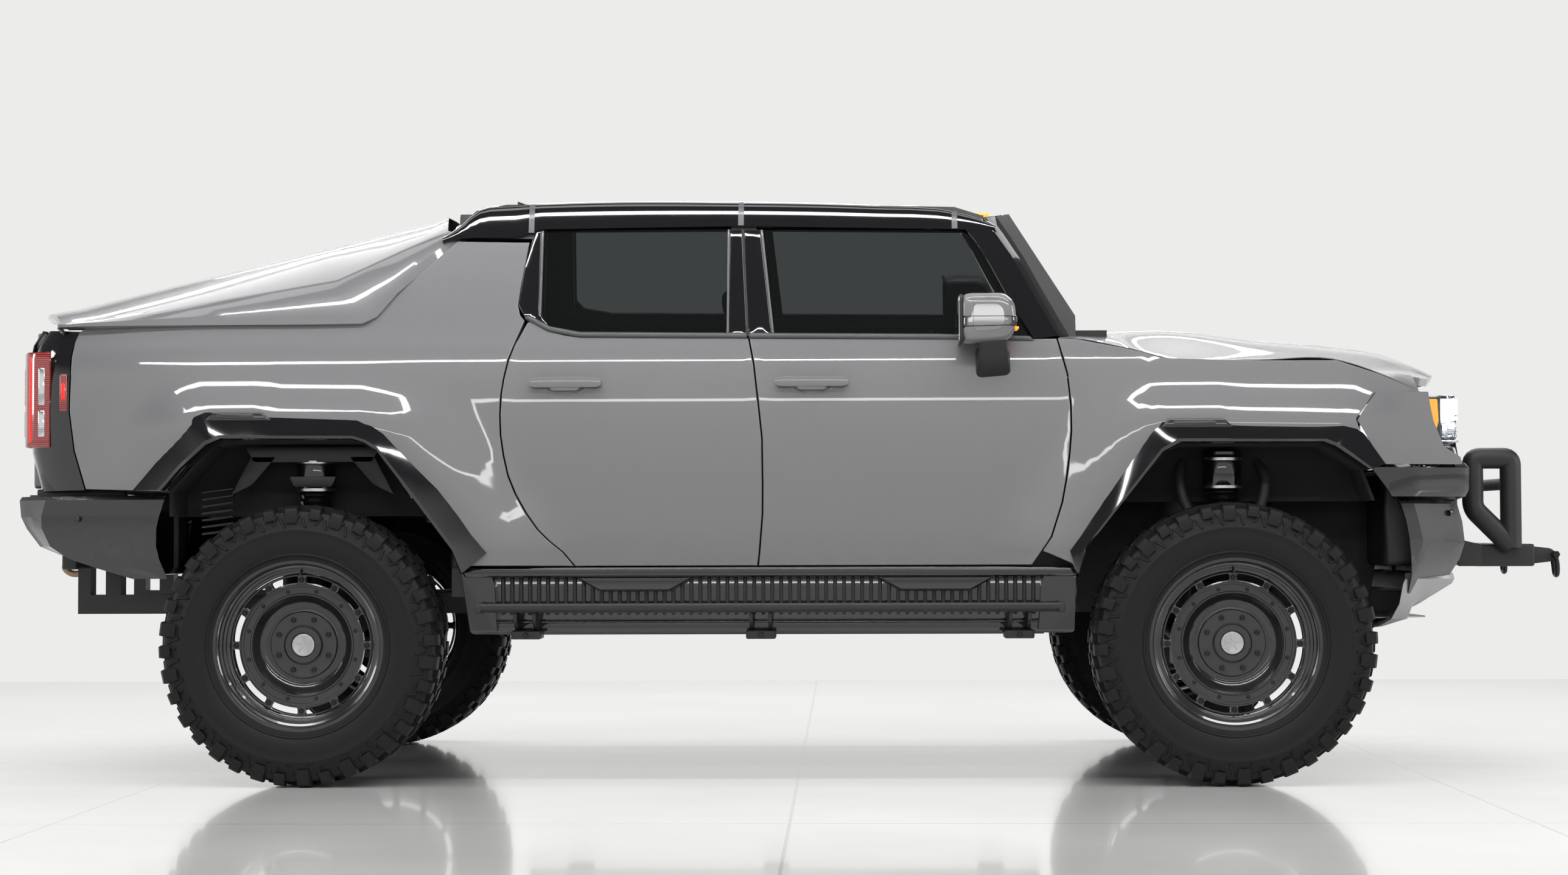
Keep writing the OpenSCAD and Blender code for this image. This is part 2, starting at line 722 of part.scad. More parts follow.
module subframes() {
    top = floor_z - seat_gap;
    module rails(x0, x1, axle) {
        both_sides() {
            block([x0, -rail_out, rail_low], [x1, -rail_in, top]);
            for (s = [-1, 1]) {
                block([axle + s * 170 - 28, -rail_out, 592 + seat_gap], [axle + s * 170 + 28, -rail_in, rail_low + 1]);
                block([axle + s * 110 - 28, -rail_out, top - 1], [axle + s * 110 + 28, -rail_in, 782 - seat_gap]);
            }
        }
        for (s = [-1, 1])
            block([axle + s * (unit_half + 20) - 20, -rail_in - 1, rail_low],
                [axle + s * (unit_half + 20) + 20, rail_in + 1, top]);
    }
    color("black") in_frame() {
        rails(front_x - 670, front_x + 760 - seat_gap, front_x);
        rails(rear_x - 1010 + seat_gap, rear_x + 668, rear_x);
        both_sides() {
            for (x = [rear_x - 900, rear_x + 468])
                block([x, -rail_out, top - 1], [x + 60, -rail_in, 1100 - seat_gap]);
            block([rear_x - 1010 + seat_gap, -rail_out, top - 1], [rear_x - 960, -rail_in, 1000]);
        }
        both_sides() block([front_x + 500, -rail_out, top - 1], [front_x + 560, -rail_in, 1130 - seat_gap]);
    }
}

module drive_units() {
    color("silver") in_frame() for (axle = [front_x, rear_x]) {
        block([axle - unit_half + seat_gap, -300, 440], [axle + unit_half - seat_gap, 300, 760]);
        both_sides() rod([axle, -299, 600], [axle, -wheel_y + 135, 524], 22);
    }
}

kingpin_in = 65;
strut_top_z = 1237;
low_joint_z = 345;
high_joint_z = 700;
arm_bore = kingpin_d / 2 + running_play;

module suspension() {
    kp = kingpin_in - wheel_y;
    module corner(axle) {
        translate([axle, 0, 0]) {
            difference() {
                union() {
                    for (s = [-1, 1]) {
                        rod([s * 170, -420, 560], [s * 12, kp + 24, low_joint_z + 8], 24);
                        translate([s * 170 - 30, -420, 560]) rotate([0, 90, 0]) cylinder(h = 60, r = 32);
                    }
                    translate([0, kp, low_joint_z - 22]) cylinder(h = 44, r = 38);
                    block([-178, -690, 426], [-70, -590, 500]);
                }
                translate([0, kp, low_joint_z - 60]) cylinder(h = 130, r = arm_bore);
            }
            difference() {
                union() {
                    for (s = [-1, 1]) {
                        rod([s * 110, -420, 812], [s * 8, kp + 20, high_joint_z + 2], 18);
                        translate([s * 110 - 30, -420, 812]) rotate([0, 90, 0]) cylinder(h = 60, r = 30);
                    }
                    translate([0, kp, high_joint_z - 20]) cylinder(h = 40, r = 34);
                }
                translate([0, kp, high_joint_z - 60]) cylinder(h = 130, r = arm_bore);
            }
            translate([-130, -640, 500 + seat_gap]) {
                cylinder(h = 500, r = 30);
                translate([0, 0, 420]) cylinder(h = strut_top_z - 920 - 2 * seat_gap, r = 84);
            }
        }
    }
    color("black") in_frame() both_sides() {
        corner(front_x);
        corner(rear_x);
    }
}

// Right-hand wheel carrier with its stub axle and its two steering pivots
module wheel_carrier(axle) {
    kp = kingpin_in - wheel_y;
    translate([axle, 0, 0]) {
        block([-45, kp - 20, low_joint_z + 50], [45, kp + 25, high_joint_z - 30]);
        translate([0, kp, low_joint_z - 20]) cylinder(h = 80, r = kingpin_d / 2);
        translate([0, kp, high_joint_z - 40]) cylinder(h = 58, r = kingpin_d / 2);
        translate([0, kp + 25, hub_datum]) rotate([90, 0, 0]) cylinder(h = 55, r = 75);
        translate([0, kp, hub_datum]) rotate([90, 0, 0]) cylinder(h = 75, r = stub_d / 2);
    }
}

module knuckle_front_right() { color("dimgray") in_frame() wheel_carrier(front_x); }
module knuckle_front_left() { color("dimgray") in_frame() mirror([0, 1, 0]) wheel_carrier(front_x); }
module rear_knuckles() { color("dimgray") in_frame() both_sides() wheel_carrier(rear_x); }

/* ---- wheels ---- */

// Rim about the z axis, with its outer face up and its wheel centre plane at z = 0
module rim_shape() {
    w = rim_w / 2;
    r = bead_d / 2 - seat_gap;
    lip = lip_d / 2;
    hub_r = 80;
    difference() {
        rotate_extrude() polygon([
            [lip - 6, w], [lip, w - 4], [lip, w - 12], [r, w - 14], [r, w - 44], [r - 20, w - 70],
            [r - 20, 70 - w], [r, 44 - w], [r, 14 - w], [lip, 12 - w], [lip, 4 - w], [lip - 6, -w],
            [r - 14, 10 - w], [r - 32, 60 - w], [r - 32, disc_offset - disc_t],
            [hub_r, disc_offset - disc_t], [hub_r, -30], [0, -30], [0, disc_offset + 30],
            [70, disc_offset + 30], [76, disc_offset + 22], [76, disc_offset], [r - 34, disc_offset],
            [r - 30, disc_offset + 20], [r - 12, w - 20]
        ]);
        translate([0, 0, -31]) cylinder(h = 31 + disc_offset - 4, r = stub_d / 2 + running_play);
        for (i = [0:lug_count - 1]) rotate(i * 360 / lug_count) translate([lug_pcd / 2, 0, -40])
            cylinder(h = 100, r = lug_hole_d / 2);
    }
}

// Tyre about the z axis
module tyre_shape() {
    w = tyre_w / 2;
    r = tyre_d / 2;
    b = bead_d / 2;
    foot = rim_w / 2 - 16;
    rotate_extrude() polygon([
        [b, foot], [b, foot - 24], [b + 24, foot - 26], [b + 60, w - 34], [r - 60, w - 30],
        [r - 40, w - 60], [r - 34, 0], [r - 40, 60 - w], [r - 60, 30 - w], [b + 60, 34 - w],
        [b + 24, 26 - foot], [b, 24 - foot], [b, -foot], [lip_d / 2 + 4, -foot - 4],
        [b + 60, 8 - w], [b + 120, -w], [r - 70, 6 - w], [r - 24, 22 - w], [r - 4, 56 - w], [r, 90 - w],
        [r, w - 90], [r - 4, w - 56], [r - 24, w - 22], [r - 70, w - 6], [b + 120, w],
        [b + 60, w - 8], [lip_d / 2 + 4, foot + 4]
    ]);
}

// Puts a shape drawn about the z axis at the right-hand wheel of an axle
module at_wheel(axle) {
    in_frame() translate([axle, -wheel_y, hub_datum]) rotate([90, 0, 0]) children();
}

module rim_front_right() { color("black") at_wheel(front_x) rim_shape(); }
module rim_front_left() { color("black") mirror([0, 1, 0]) at_wheel(front_x) rim_shape(); }
module rim_rear_right() { color("black") at_wheel(rear_x) rim_shape(); }
module rim_rear_left() { color("black") mirror([0, 1, 0]) at_wheel(rear_x) rim_shape(); }
module tyre_front_right() { color("darkslategray") at_wheel(front_x) tyre_shape(); }
module tyre_front_left() { color("darkslategray") mirror([0, 1, 0]) at_wheel(front_x) tyre_shape(); }
module tyre_rear_right() { color("darkslategray") at_wheel(rear_x) tyre_shape(); }
module tyre_rear_left() { color("darkslategray") mirror([0, 1, 0]) at_wheel(rear_x) tyre_shape(); }

/* ---- inside ---- */

module seats() {
    base = floor_z + floor_t + seat_gap;
    // Profile of a seat in length and height, from the front of its cushion
    function chair(x, tall) = [
        [x - 500, base], [x - 60, base], [x - 40, 1120], [x, 1130], [x, 1205], [x - 60, 1220],
        [x - 430, 1190], [x - 560, 1640], [x - 570, 1640 + tall], [x - 660, 1640 + tall],
        [x - 690, 1640], [x - 600, 1120]
    ];
    color("black") in_frame() {
        both_sides() upright_plate(chair(500, 190), 190, 700);
        upright_plate(moved(chair(rear_x + 1330, 120), 0), -690, 690);
    }
}

module dashboard() {
    base = floor_z + floor_t + seat_gap;
    x = firewall_x - floor_t - seat_gap;
    wheel_at = [x - 390, 400, 1440];
    color("black") in_frame() {
        upright_plate(
            [[x, 1230], [x, 1620], [x - 120, 1625], [x - 290, 1560], [x - 300, 1400], [x - 200, 1240]],
            -810, 810
        );
        block([-60, -150, base], [x - 180, 150, 1090]);
        upright_plate([[x, base], [x, 1240], [x - 190, 1250], [x - 250, base]], -150, 150);
        rod(wheel_at, wheel_at + [190, 0, -60], 32);
        translate(wheel_at) rotate([0, 70, 0]) {
            rotate_extrude() translate([180, 0]) circle(16);
            for (a = [0, 90, 180]) rotate(a) rotate([0, 90, 0]) cylinder(h = 180, r = 12);
            cylinder(h = 40, r = 60, center = true);
        }
    }
}

cab_shell();
roof_panels();
fixed_glass();
front_wings();
bed_sides();
bed_tub();
front_trunk();
front_bumper();
bull_bar();
rear_bumper();
headlamps();
tail_lamps();
side_cladding();
wheel_liners();
running_boards();
battery_pack();
drive_units();
subframes();
suspension();
rear_knuckles();
seats();
dashboard();
hood();
tailgate();
bed_cover();
door_front_right();
door_front_left();
door_rear_right();
door_rear_left();
glass_front_right();
glass_front_left();
glass_rear_right();
glass_rear_left();
mirror_right();
mirror_left();
knuckle_front_right();
knuckle_front_left();
rim_front_right();
rim_front_left();
rim_rear_right();
rim_rear_left();
tyre_front_right();
tyre_front_left();
tyre_rear_right();
tyre_rear_left();
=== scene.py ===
import bpy
import bmesh
import math
import numpy as np
from mathutils import Matrix, Vector
from mathutils.geometry import delaunay_2d_cdt


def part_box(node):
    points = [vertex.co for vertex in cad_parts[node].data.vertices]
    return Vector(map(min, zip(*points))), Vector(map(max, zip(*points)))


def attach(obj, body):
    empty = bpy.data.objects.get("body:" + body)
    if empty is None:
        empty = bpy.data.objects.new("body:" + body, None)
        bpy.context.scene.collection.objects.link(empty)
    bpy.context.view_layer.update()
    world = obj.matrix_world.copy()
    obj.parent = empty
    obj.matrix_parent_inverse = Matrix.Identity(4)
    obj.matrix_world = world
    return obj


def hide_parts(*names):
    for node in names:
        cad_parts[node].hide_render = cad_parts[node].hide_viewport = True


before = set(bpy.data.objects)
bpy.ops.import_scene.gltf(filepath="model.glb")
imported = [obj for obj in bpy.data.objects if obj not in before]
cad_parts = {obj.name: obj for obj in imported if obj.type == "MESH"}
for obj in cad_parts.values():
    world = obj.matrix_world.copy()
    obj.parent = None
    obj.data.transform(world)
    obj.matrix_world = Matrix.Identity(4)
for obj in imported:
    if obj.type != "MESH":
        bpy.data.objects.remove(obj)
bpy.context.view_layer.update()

# ---- Room ----
# A pale studio: a glossy tiled floor, a pale wall all round it and a dim ceiling. Long soft lamps hang
# overhead and on both sides, and one stands off each end of the vehicle.
scene = bpy.context.scene
scene.view_settings.view_transform = "Standard"

camera_data = bpy.data.cameras.new("camera")
camera_data.lens = 62.26
camera_data.sensor_width = 36.0
camera_data.clip_end = 100.0
camera = bpy.data.objects.new("camera", camera_data)
camera.location = (0.185, -11.106, 0.934)
camera.rotation_euler = (math.radians(92.0), math.radians(0.18), math.radians(1.31))
scene.collection.objects.link(camera)
scene.camera = camera


def new_material(name):
    """A material with its Principled shader, and a maker of nodes and links in it."""
    mat = bpy.data.materials.new(name)
    mat.use_nodes = True
    return mat, mat.node_tree, mat.node_tree.nodes["Principled BSDF"]


def add_node(tree, kind, settings=None, **inputs):
    """Adds a node; inputs are values or sockets, with spaces in a name written as underscores."""
    made = tree.nodes.new(kind)
    for key, value in (settings or {}).items():
        setattr(made, key, value)
    for key, value in inputs.items():
        socket = made.inputs[int(key[1:]) if key[0] == "i" and key[1:].isdigit() else key.replace("_", " ")]
        if isinstance(value, bpy.types.NodeSocket):
            tree.links.new(value, socket)
        else:
            socket.default_value = value
    return made


def add_object(name, mesh):
    made = bpy.data.objects.new(name, mesh)
    scene.collection.objects.link(made)
    return made


def build_mesh(name, points, faces, smooth=True):
    mesh = bpy.data.meshes.new(name)
    mesh.from_pydata([tuple(p) for p in points], [], faces)
    mesh.update()
    if smooth:
        mesh.polygons.foreach_set("use_smooth", [True] * len(mesh.polygons))
    return mesh


floor_mat, tree, shader = new_material("studio_floor")
where = add_node(tree, "ShaderNodeTexCoord")
veins = add_node(tree, "ShaderNodeTexNoise", None, Vector=where.outputs["Object"], Scale=0.9, Detail=6.0)
tiles = add_node(tree, "ShaderNodeTexBrick", {"offset": 0.0}, Vector=where.outputs["Object"], Scale=0.42,
    Mortar_Size=0.0025, Color1=(1, 1, 1, 1), Color2=(1, 1, 1, 1), Mortar=(0.72, 0.71, 0.7, 1))
tiles.inputs["Brick Width"].default_value = 1.0
tiles.inputs["Row Height"].default_value = 1.0
tone = add_node(tree, "ShaderNodeValToRGB", None, Fac=veins.outputs["Fac"])
tone.color_ramp.elements[0].color = (0.70, 0.70, 0.69, 1)
tone.color_ramp.elements[0].position = 0.3
tone.color_ramp.elements[1].color = (0.80, 0.80, 0.79, 1)
tone.color_ramp.elements[1].position = 0.65
mixed = add_node(tree, "ShaderNodeMix", {"data_type": "RGBA", "blend_type": "MULTIPLY"}, Factor=1.0,
    A=tone.outputs["Color"], B=tiles.outputs["Color"])
tree.links.new(mixed.outputs[2], shader.inputs["Base Color"])
shader.inputs["Roughness"].default_value = 0.12
shader.inputs["Coat Weight"].default_value = 0.3
side = add_node(tree, "ShaderNodeNewGeometry")
through = add_node(tree, "ShaderNodeBsdfTransparent")
sheet = add_node(tree, "ShaderNodeMixShader", None, i0=side.outputs["Backfacing"], i1=shader.outputs["BSDF"],
    i2=through.outputs["BSDF"])
tree.links.new(sheet.outputs["Shader"], tree.nodes["Material Output"].inputs["Surface"])

floor = add_object("studio_floor", build_mesh("studio_floor", [(-15, -15, 0), (15, -15, 0), (15, 6, 0),
    (-15, 6, 0)], [(0, 1, 2, 3)], False))
floor.data.materials.append(floor_mat)

for name, place, turn, size, power in (("strip_right_high", (0.0, -3.7, 5.2), (40, 0, 0), (9.5, 0.35), 240),
        ("strip_right_mid", (0.0, -6.0, 4.1), (60, 0, 0), (9.0, 0.16), 110),
        ("strip_right_low", (0.4, -8.2, 2.3), (80, 0, 0), (7.0, 0.10), 26),
        ("strip_left_high", (0.0, 3.7, 5.2), (-40, 0, 0), (9.5, 0.35), 180),
        ("strip_left_mid", (0.0, 6.0, 5.0), (-55, 0, 0), (9.0, 0.3), 110),
        ("ceiling_left", (0.0, 1.8, 5.8), (-12, 0, 0), (10.0, 3.0), 175),
        ("ceiling_right", (0.0, -1.5, 5.8), (5, 0, 0), (10.0, 1.2), 90),
        ("nose_side", (8.0, -2.5, 3.0), (65, 0, 80), (1.2, 3.0), 120),
        ("tail_side", (-8.0, -2.5, 3.0), (65, 0, -80), (1.2, 3.0), 120)):
    lamp = bpy.data.lights.new(name, "AREA")
    lamp.shape = "RECTANGLE"
    lamp.size, lamp.size_y = size
    lamp.energy = power
    lamp_object = bpy.data.objects.new(name, lamp)
    lamp_object.location = place
    lamp_object.rotation_euler = [math.radians(a) for a in turn]
    scene.collection.objects.link(lamp_object)

# The world is the rest of the room. The camera, glass and reflections see a pale wall under a dim
# ceiling, and diffuse light comes from a softer ramp.
world = bpy.data.worlds.new("studio")
world.use_nodes = True
tree = world.node_tree
where = add_node(tree, "ShaderNodeTexCoord")
height = add_node(tree, "ShaderNodeSeparateXYZ", None, Vector=where.outputs["Generated"])
room = add_node(tree, "ShaderNodeValToRGB", None, Fac=height.outputs["Z"])
room.color_ramp.elements[0].position = 0.03
room.color_ramp.elements[0].color = (0.62, 0.62, 0.62, 1)
room.color_ramp.elements[1].position = 0.30
room.color_ramp.elements[1].color = (0.20, 0.20, 0.205, 1)
path = add_node(tree, "ShaderNodeLightPath")
seen = add_node(tree, "ShaderNodeMath", {"operation": "MAXIMUM"}, i0=path.outputs["Is Camera Ray"],
    i1=path.outputs["Is Transmission Ray"])
seen = add_node(tree, "ShaderNodeMath", {"operation": "MAXIMUM"}, i0=seen.outputs[0],
    i1=path.outputs["Is Glossy Ray"])
wall = add_node(tree, "ShaderNodeValToRGB", None, Fac=height.outputs["Z"])
wall.color_ramp.elements[0].position = 0.28
wall.color_ramp.elements[0].color = (0.84, 0.84, 0.83, 1)
wall.color_ramp.elements[1].position = 0.40
wall.color_ramp.elements[1].color = (0.12, 0.12, 0.125, 1)
shown = add_node(tree, "ShaderNodeMix", {"data_type": "RGBA"}, Factor=seen.outputs[0],
    A=room.outputs["Color"], B=wall.outputs["Color"])
tree.links.new(shown.outputs[2], tree.nodes["Background"].inputs["Color"])
scene.world = world

# ---- Body paint ----
# Medium-grey gloss paint under clear lacquer on pressed steel and aluminium panels. It has a faint
# orange peel and a fine fleck, and gathers a little dust low on the sides.
def make_group(name, ins, outs):
    """A shader node group with named inputs (name, kind, default) and outputs (name, kind)."""
    group = bpy.data.node_groups.new(name, "ShaderNodeTree")
    for title, kind, value in ins:
        made = group.interface.new_socket(title, in_out="INPUT", socket_type=kind)
        made.default_value = value
    for title, kind in outs:
        group.interface.new_socket(title, in_out="OUTPUT", socket_type=kind)
    return group, group.nodes.new("NodeGroupInput"), group.nodes.new("NodeGroupOutput")


# Fine uneven wear: colour drifts and roughness varies over a surface, more towards the ground.
wear_group, wear_in, wear_out = make_group("surface_wear", [("Color", "NodeSocketColor", (0.5, 0.5, 0.5, 1)),
    ("Dust Color", "NodeSocketColor", (0.45, 0.42, 0.38, 1)), ("Dust", "NodeSocketFloat", 0.1),
    ("Roughness", "NodeSocketFloat", 0.3), ("Variation", "NodeSocketFloat", 0.1),
    ("Scale", "NodeSocketFloat", 6.0), ("Peel", "NodeSocketFloat", 0.02),
    ("Peel Scale", "NodeSocketFloat", 400.0)], [("Color", "NodeSocketColor"),
    ("Roughness", "NodeSocketFloat"), ("Normal", "NodeSocketVector")])
g = wear_group
where = add_node(g, "ShaderNodeTexCoord")
patch = add_node(g, "ShaderNodeTexNoise", None, Vector=where.outputs["Object"],
    Scale=wear_in.outputs["Scale"], Detail=7.0, Roughness=0.6)
fine = add_node(g, "ShaderNodeTexNoise", None, Vector=where.outputs["Object"],
    Scale=wear_in.outputs["Peel Scale"], Detail=2.0)
height = add_node(g, "ShaderNodeSeparateXYZ", None, Vector=where.outputs["Object"])
low = add_node(g, "ShaderNodeMapRange", None, Value=height.outputs["Z"], From_Min=1.1, From_Max=0.3)
drift = add_node(g, "ShaderNodeMath", {"operation": "SUBTRACT"}, i0=patch.outputs["Fac"], i1=0.5)
swing = add_node(g, "ShaderNodeMath", {"operation": "MULTIPLY"}, i0=drift.outputs[0],
    i1=wear_in.outputs["Variation"])
rough = add_node(g, "ShaderNodeMath", {"operation": "ADD", "use_clamp": True},
    i0=wear_in.outputs["Roughness"], i1=swing.outputs[0])
dusty = add_node(g, "ShaderNodeMath", {"operation": "MULTIPLY"}, i0=low.outputs[0],
    i1=wear_in.outputs["Dust"])
dusty2 = add_node(g, "ShaderNodeMath", {"operation": "MULTIPLY", "use_clamp": True}, i0=dusty.outputs[0],
    i1=patch.outputs["Fac"])
tint = add_node(g, "ShaderNodeMix", {"data_type": "RGBA"}, Factor=dusty2.outputs[0],
    A=wear_in.outputs["Color"], B=wear_in.outputs["Dust Color"])
bump = add_node(g, "ShaderNodeBump", None, Strength=wear_in.outputs["Peel"], Distance=0.002,
    Height=fine.outputs["Fac"])
g.links.new(tint.outputs[2], wear_out.inputs["Color"])
g.links.new(rough.outputs[0], wear_out.inputs["Roughness"])
g.links.new(bump.outputs[0], wear_out.inputs["Normal"])


def worn_material(name, color, roughness, metallic=0.0, coat=0.0, dust=0.1, variation=0.1, scale=6.0,
        peel=0.02, peel_scale=400.0, coat_roughness=0.03):
    """A painted, moulded or bare surface, with the shared wear feeding its colour and roughness."""
    mat, tree, shader = new_material(name)
    wear = add_node(tree, "ShaderNodeGroup", {"node_tree": wear_group}, Color=(*color, 1), Dust=dust,
        Roughness=roughness, Variation=variation, Scale=scale, Peel=peel, Peel_Scale=peel_scale)
    for socket, output in (("Base Color", "Color"), ("Roughness", "Roughness"), ("Normal", "Normal")):
        tree.links.new(wear.outputs[output], shader.inputs[socket])
    shader.inputs["Metallic"].default_value = metallic
    shader.inputs["Coat Weight"].default_value = coat
    shader.inputs["Coat Roughness"].default_value = coat_roughness
    return mat


paint = worn_material("grey_paint", (0.150, 0.151, 0.155), 0.32, metallic=0.1, coat=1.0, dust=0.05,
    variation=0.06, peel=0.006, peel_scale=900.0)
gloss_black = worn_material("gloss_black", (0.006, 0.006, 0.007), 0.07, coat=0.8, dust=0.03, variation=0.05,
    peel=0.005, peel_scale=700.0)
satin_black = worn_material("satin_black_plastic", (0.009, 0.009, 0.0095), 0.42, dust=0.06, variation=0.25,
    peel=0.12, peel_scale=1200.0)
powder_black = worn_material("black_powder_coat", (0.010, 0.010, 0.0105), 0.48, dust=0.05, variation=0.2,
    peel=0.25, peel_scale=700.0)

# ---- Side of the body ----
# Front wings, four doors and load-bed sides are thin pressings that share one flowing surface, so
# that light runs unbroken across their shut lines. Their edges are hemmed over an inner frame.
hub_low, hub_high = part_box("rim_front_right")
axle_f = (hub_low[0] + hub_high[0]) / 2
hub_z = (hub_low[2] + hub_high[2]) / 2
tail_low, tail_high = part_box("rim_rear_right")
axle_r = (tail_low[0] + tail_high[0]) / 2
half_body = -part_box("bed_sides")[0][1]
shut = 0.005


def front(points):
    return [(axle_f + x / 1000, z / 1000) for x, z in points]


def rear(points):
    return [(axle_r + x / 1000, z / 1000) for x, z in points]


def centre(points):
    return [((axle_f + axle_r) / 2 + x / 1000, z / 1000) for x, z in points]


def smooth_step(t):
    t = np.clip(t, 0.0, 1.0)
    return t * t * (3 - 2 * t)


flare_front = front([(-598, 869), (-554, 921), (-295, 1326), (-260, 1350), (-36, 1352), (7, 1338),
    (424, 1327), (495, 1284), (566, 1178)])
flare_rear = rear([(-637, 1093), (-536, 1216), (-398, 1372), (-368, 1386), (-158, 1388), (-128, 1371),
    (207, 1363), (310, 1319), (516, 1102), (633, 928), (700, 862)])
arch_front = front([(-560, 763), (-540, 878), (-439, 1022), (-237, 1239), (-180, 1262), (337, 1262),
    (423, 1212), (495, 1169)])
arch_rear = rear([(-520, 1093), (-355, 1274), (-288, 1286), (208, 1284), (281, 1241), (429, 1044), (561, 870),
    (591, 783)])


def distance_to(line, x, z):
    """Distance from points to a polyline."""
    best = np.full(np.shape(x), 9.0)
    for (x0, z0), (x1, z1) in zip(line[:-1], line[1:]):
        dx, dz = x1 - x0, z1 - z0
        t = np.clip(((x - x0) * dx + (z - z0) * dz) / (dx * dx + dz * dz), 0, 1)
        best = np.minimum(best, np.hypot(x - x0 - t * dx, z - z0 - t * dz))
    return best


# Inset of the side from its widest plane at each height, sill to belt.
height_knots = np.array([0.70, 0.80, 0.95, 1.10, 1.25, 1.38, 1.48, 1.55, 1.60, 1.65, 1.70, 1.78, 1.95, 2.10,
    2.20])
inset_knots = np.array([0.017, 0.010, 0.004, 0.0, -0.003, -0.003, 0.001, 0.008, 0.018, 0.034, 0.050, 0.074,
    0.124, 0.168, 0.198])


def curve(x, xs, ys):
    """Smooth curve through knots, by Catmull-Rom slopes."""
    xs, ys = np.asarray(xs, float), np.asarray(ys, float)
    slope = np.gradient(ys, xs)
    i = np.clip(np.searchsorted(xs, x) - 1, 0, len(xs) - 2)
    h = xs[i + 1] - xs[i]
    t = np.clip((x - xs[i]) / h, 0, 1)
    a, b = ys[i], ys[i + 1]
    return ((1 + 2 * t) * (1 - t) ** 2 * a + t * (1 - t)
        ** 2 * h * slope[i] + t * t * (3 - 2 * t) * b + t * t * (t - 1) * h * slope[i + 1])


def side_half(x, z):
    """Half width of the painted body at a place along it and a height."""
    x, z = np.asarray(x, float), np.asarray(z, float)
    y = half_body + 0.003 - curve(z, height_knots, inset_knots)
    nose = np.clip((x - axle_f - 0.25) / 0.65, 0, 2)
    y = y - 0.055 * nose ** 2
    stern = np.clip((axle_r - 0.30 - x) / 0.6, 0, 2)
    y = y - 0.028 * stern ** 2
    for line in (flare_front, flare_rear):
        y = y + 0.034 * smooth_step(1 - distance_to(line, x, z) / 0.30) * smooth_step((1.56 - z) / 0.25)
    return y


def right_side(x, z):
    return np.stack([x, -side_half(x, z), z], -1)


def round_corners(points, radius, closed=True):
    """Outline with each corner replaced by a short arc."""
    out = []
    n = len(points)
    for i, p in enumerate(points):
        p = np.array(p)
        a = np.array(points[(i - 1) % n]) - p
        b = np.array(points[(i + 1) % n]) - p
        la, lb = np.linalg.norm(a), np.linalg.norm(b)
        if not closed and i in (0, n - 1) or la < 1e-6 or lb < 1e-6:
            out.append(tuple(p))
            continue
        r = min(radius, la * 0.45, lb * 0.45)
        s, e = p + a / la * r, p + b / lb * r
        for t in np.linspace(0, 1, 6):
            out.append(tuple((1 - t) ** 2 * s + 2 * t * (1 - t) * p + t * t * e))
    return out


def resample(points, step, closed=True):
    out = []
    n = len(points)
    for i in range(n if closed else n - 1):
        a, b = np.array(points[i]), np.array(points[(i + 1) % n])
        k = max(1, int(math.ceil(np.linalg.norm(b - a) / step)))
        out += [tuple(a + (b - a) * j / k) for j in range(k)]
    if not closed:
        out.append(tuple(points[-1]))
    return out


def clean(points, least=1e-4):
    out = [points[0]]
    for p in points[1:]:
        if math.dist(p, out[-1]) > least:
            out.append(p)
    if math.dist(out[0], out[-1]) <= least:
        out.pop()
    return out


def area_of(points):
    return 0.5 * sum(a[0] * b[1] - b[0] * a[1] for a, b in zip(points, points[1:] + points[:1]))


def inset_outline(points, d):
    """Outline drawn in by d, with limited mitres; points run counter-clockwise."""
    p = np.array(points)
    before, after = np.roll(p, 1, 0), np.roll(p, -1, 0)
    e1, e2 = p - before, after - p
    e1 /= np.linalg.norm(e1, axis=1)[:, None]
    e2 /= np.linalg.norm(e2, axis=1)[:, None]
    n1, n2 = np.stack([-e1[:, 1], e1[:, 0]], 1), np.stack([-e2[:, 1], e2[:, 0]], 1)
    k = np.maximum(1 + (n1 * n2).sum(1), 0.35)
    return p + (n1 + n2) * d / k[:, None]


def inside(points, x, y):
    p = np.array(points)
    q = np.roll(p, -1, 0)
    hit = np.zeros(x.shape, bool)
    for (x0, y0), (x1, y1) in zip(p, q):
        crosses = ((y0 > y) != (y1 > y))
        at = (x1 - x0) * (y - y0) / (y1 - y0 + 1e-12) + x0
        hit ^= crosses & (x < at)
    return hit


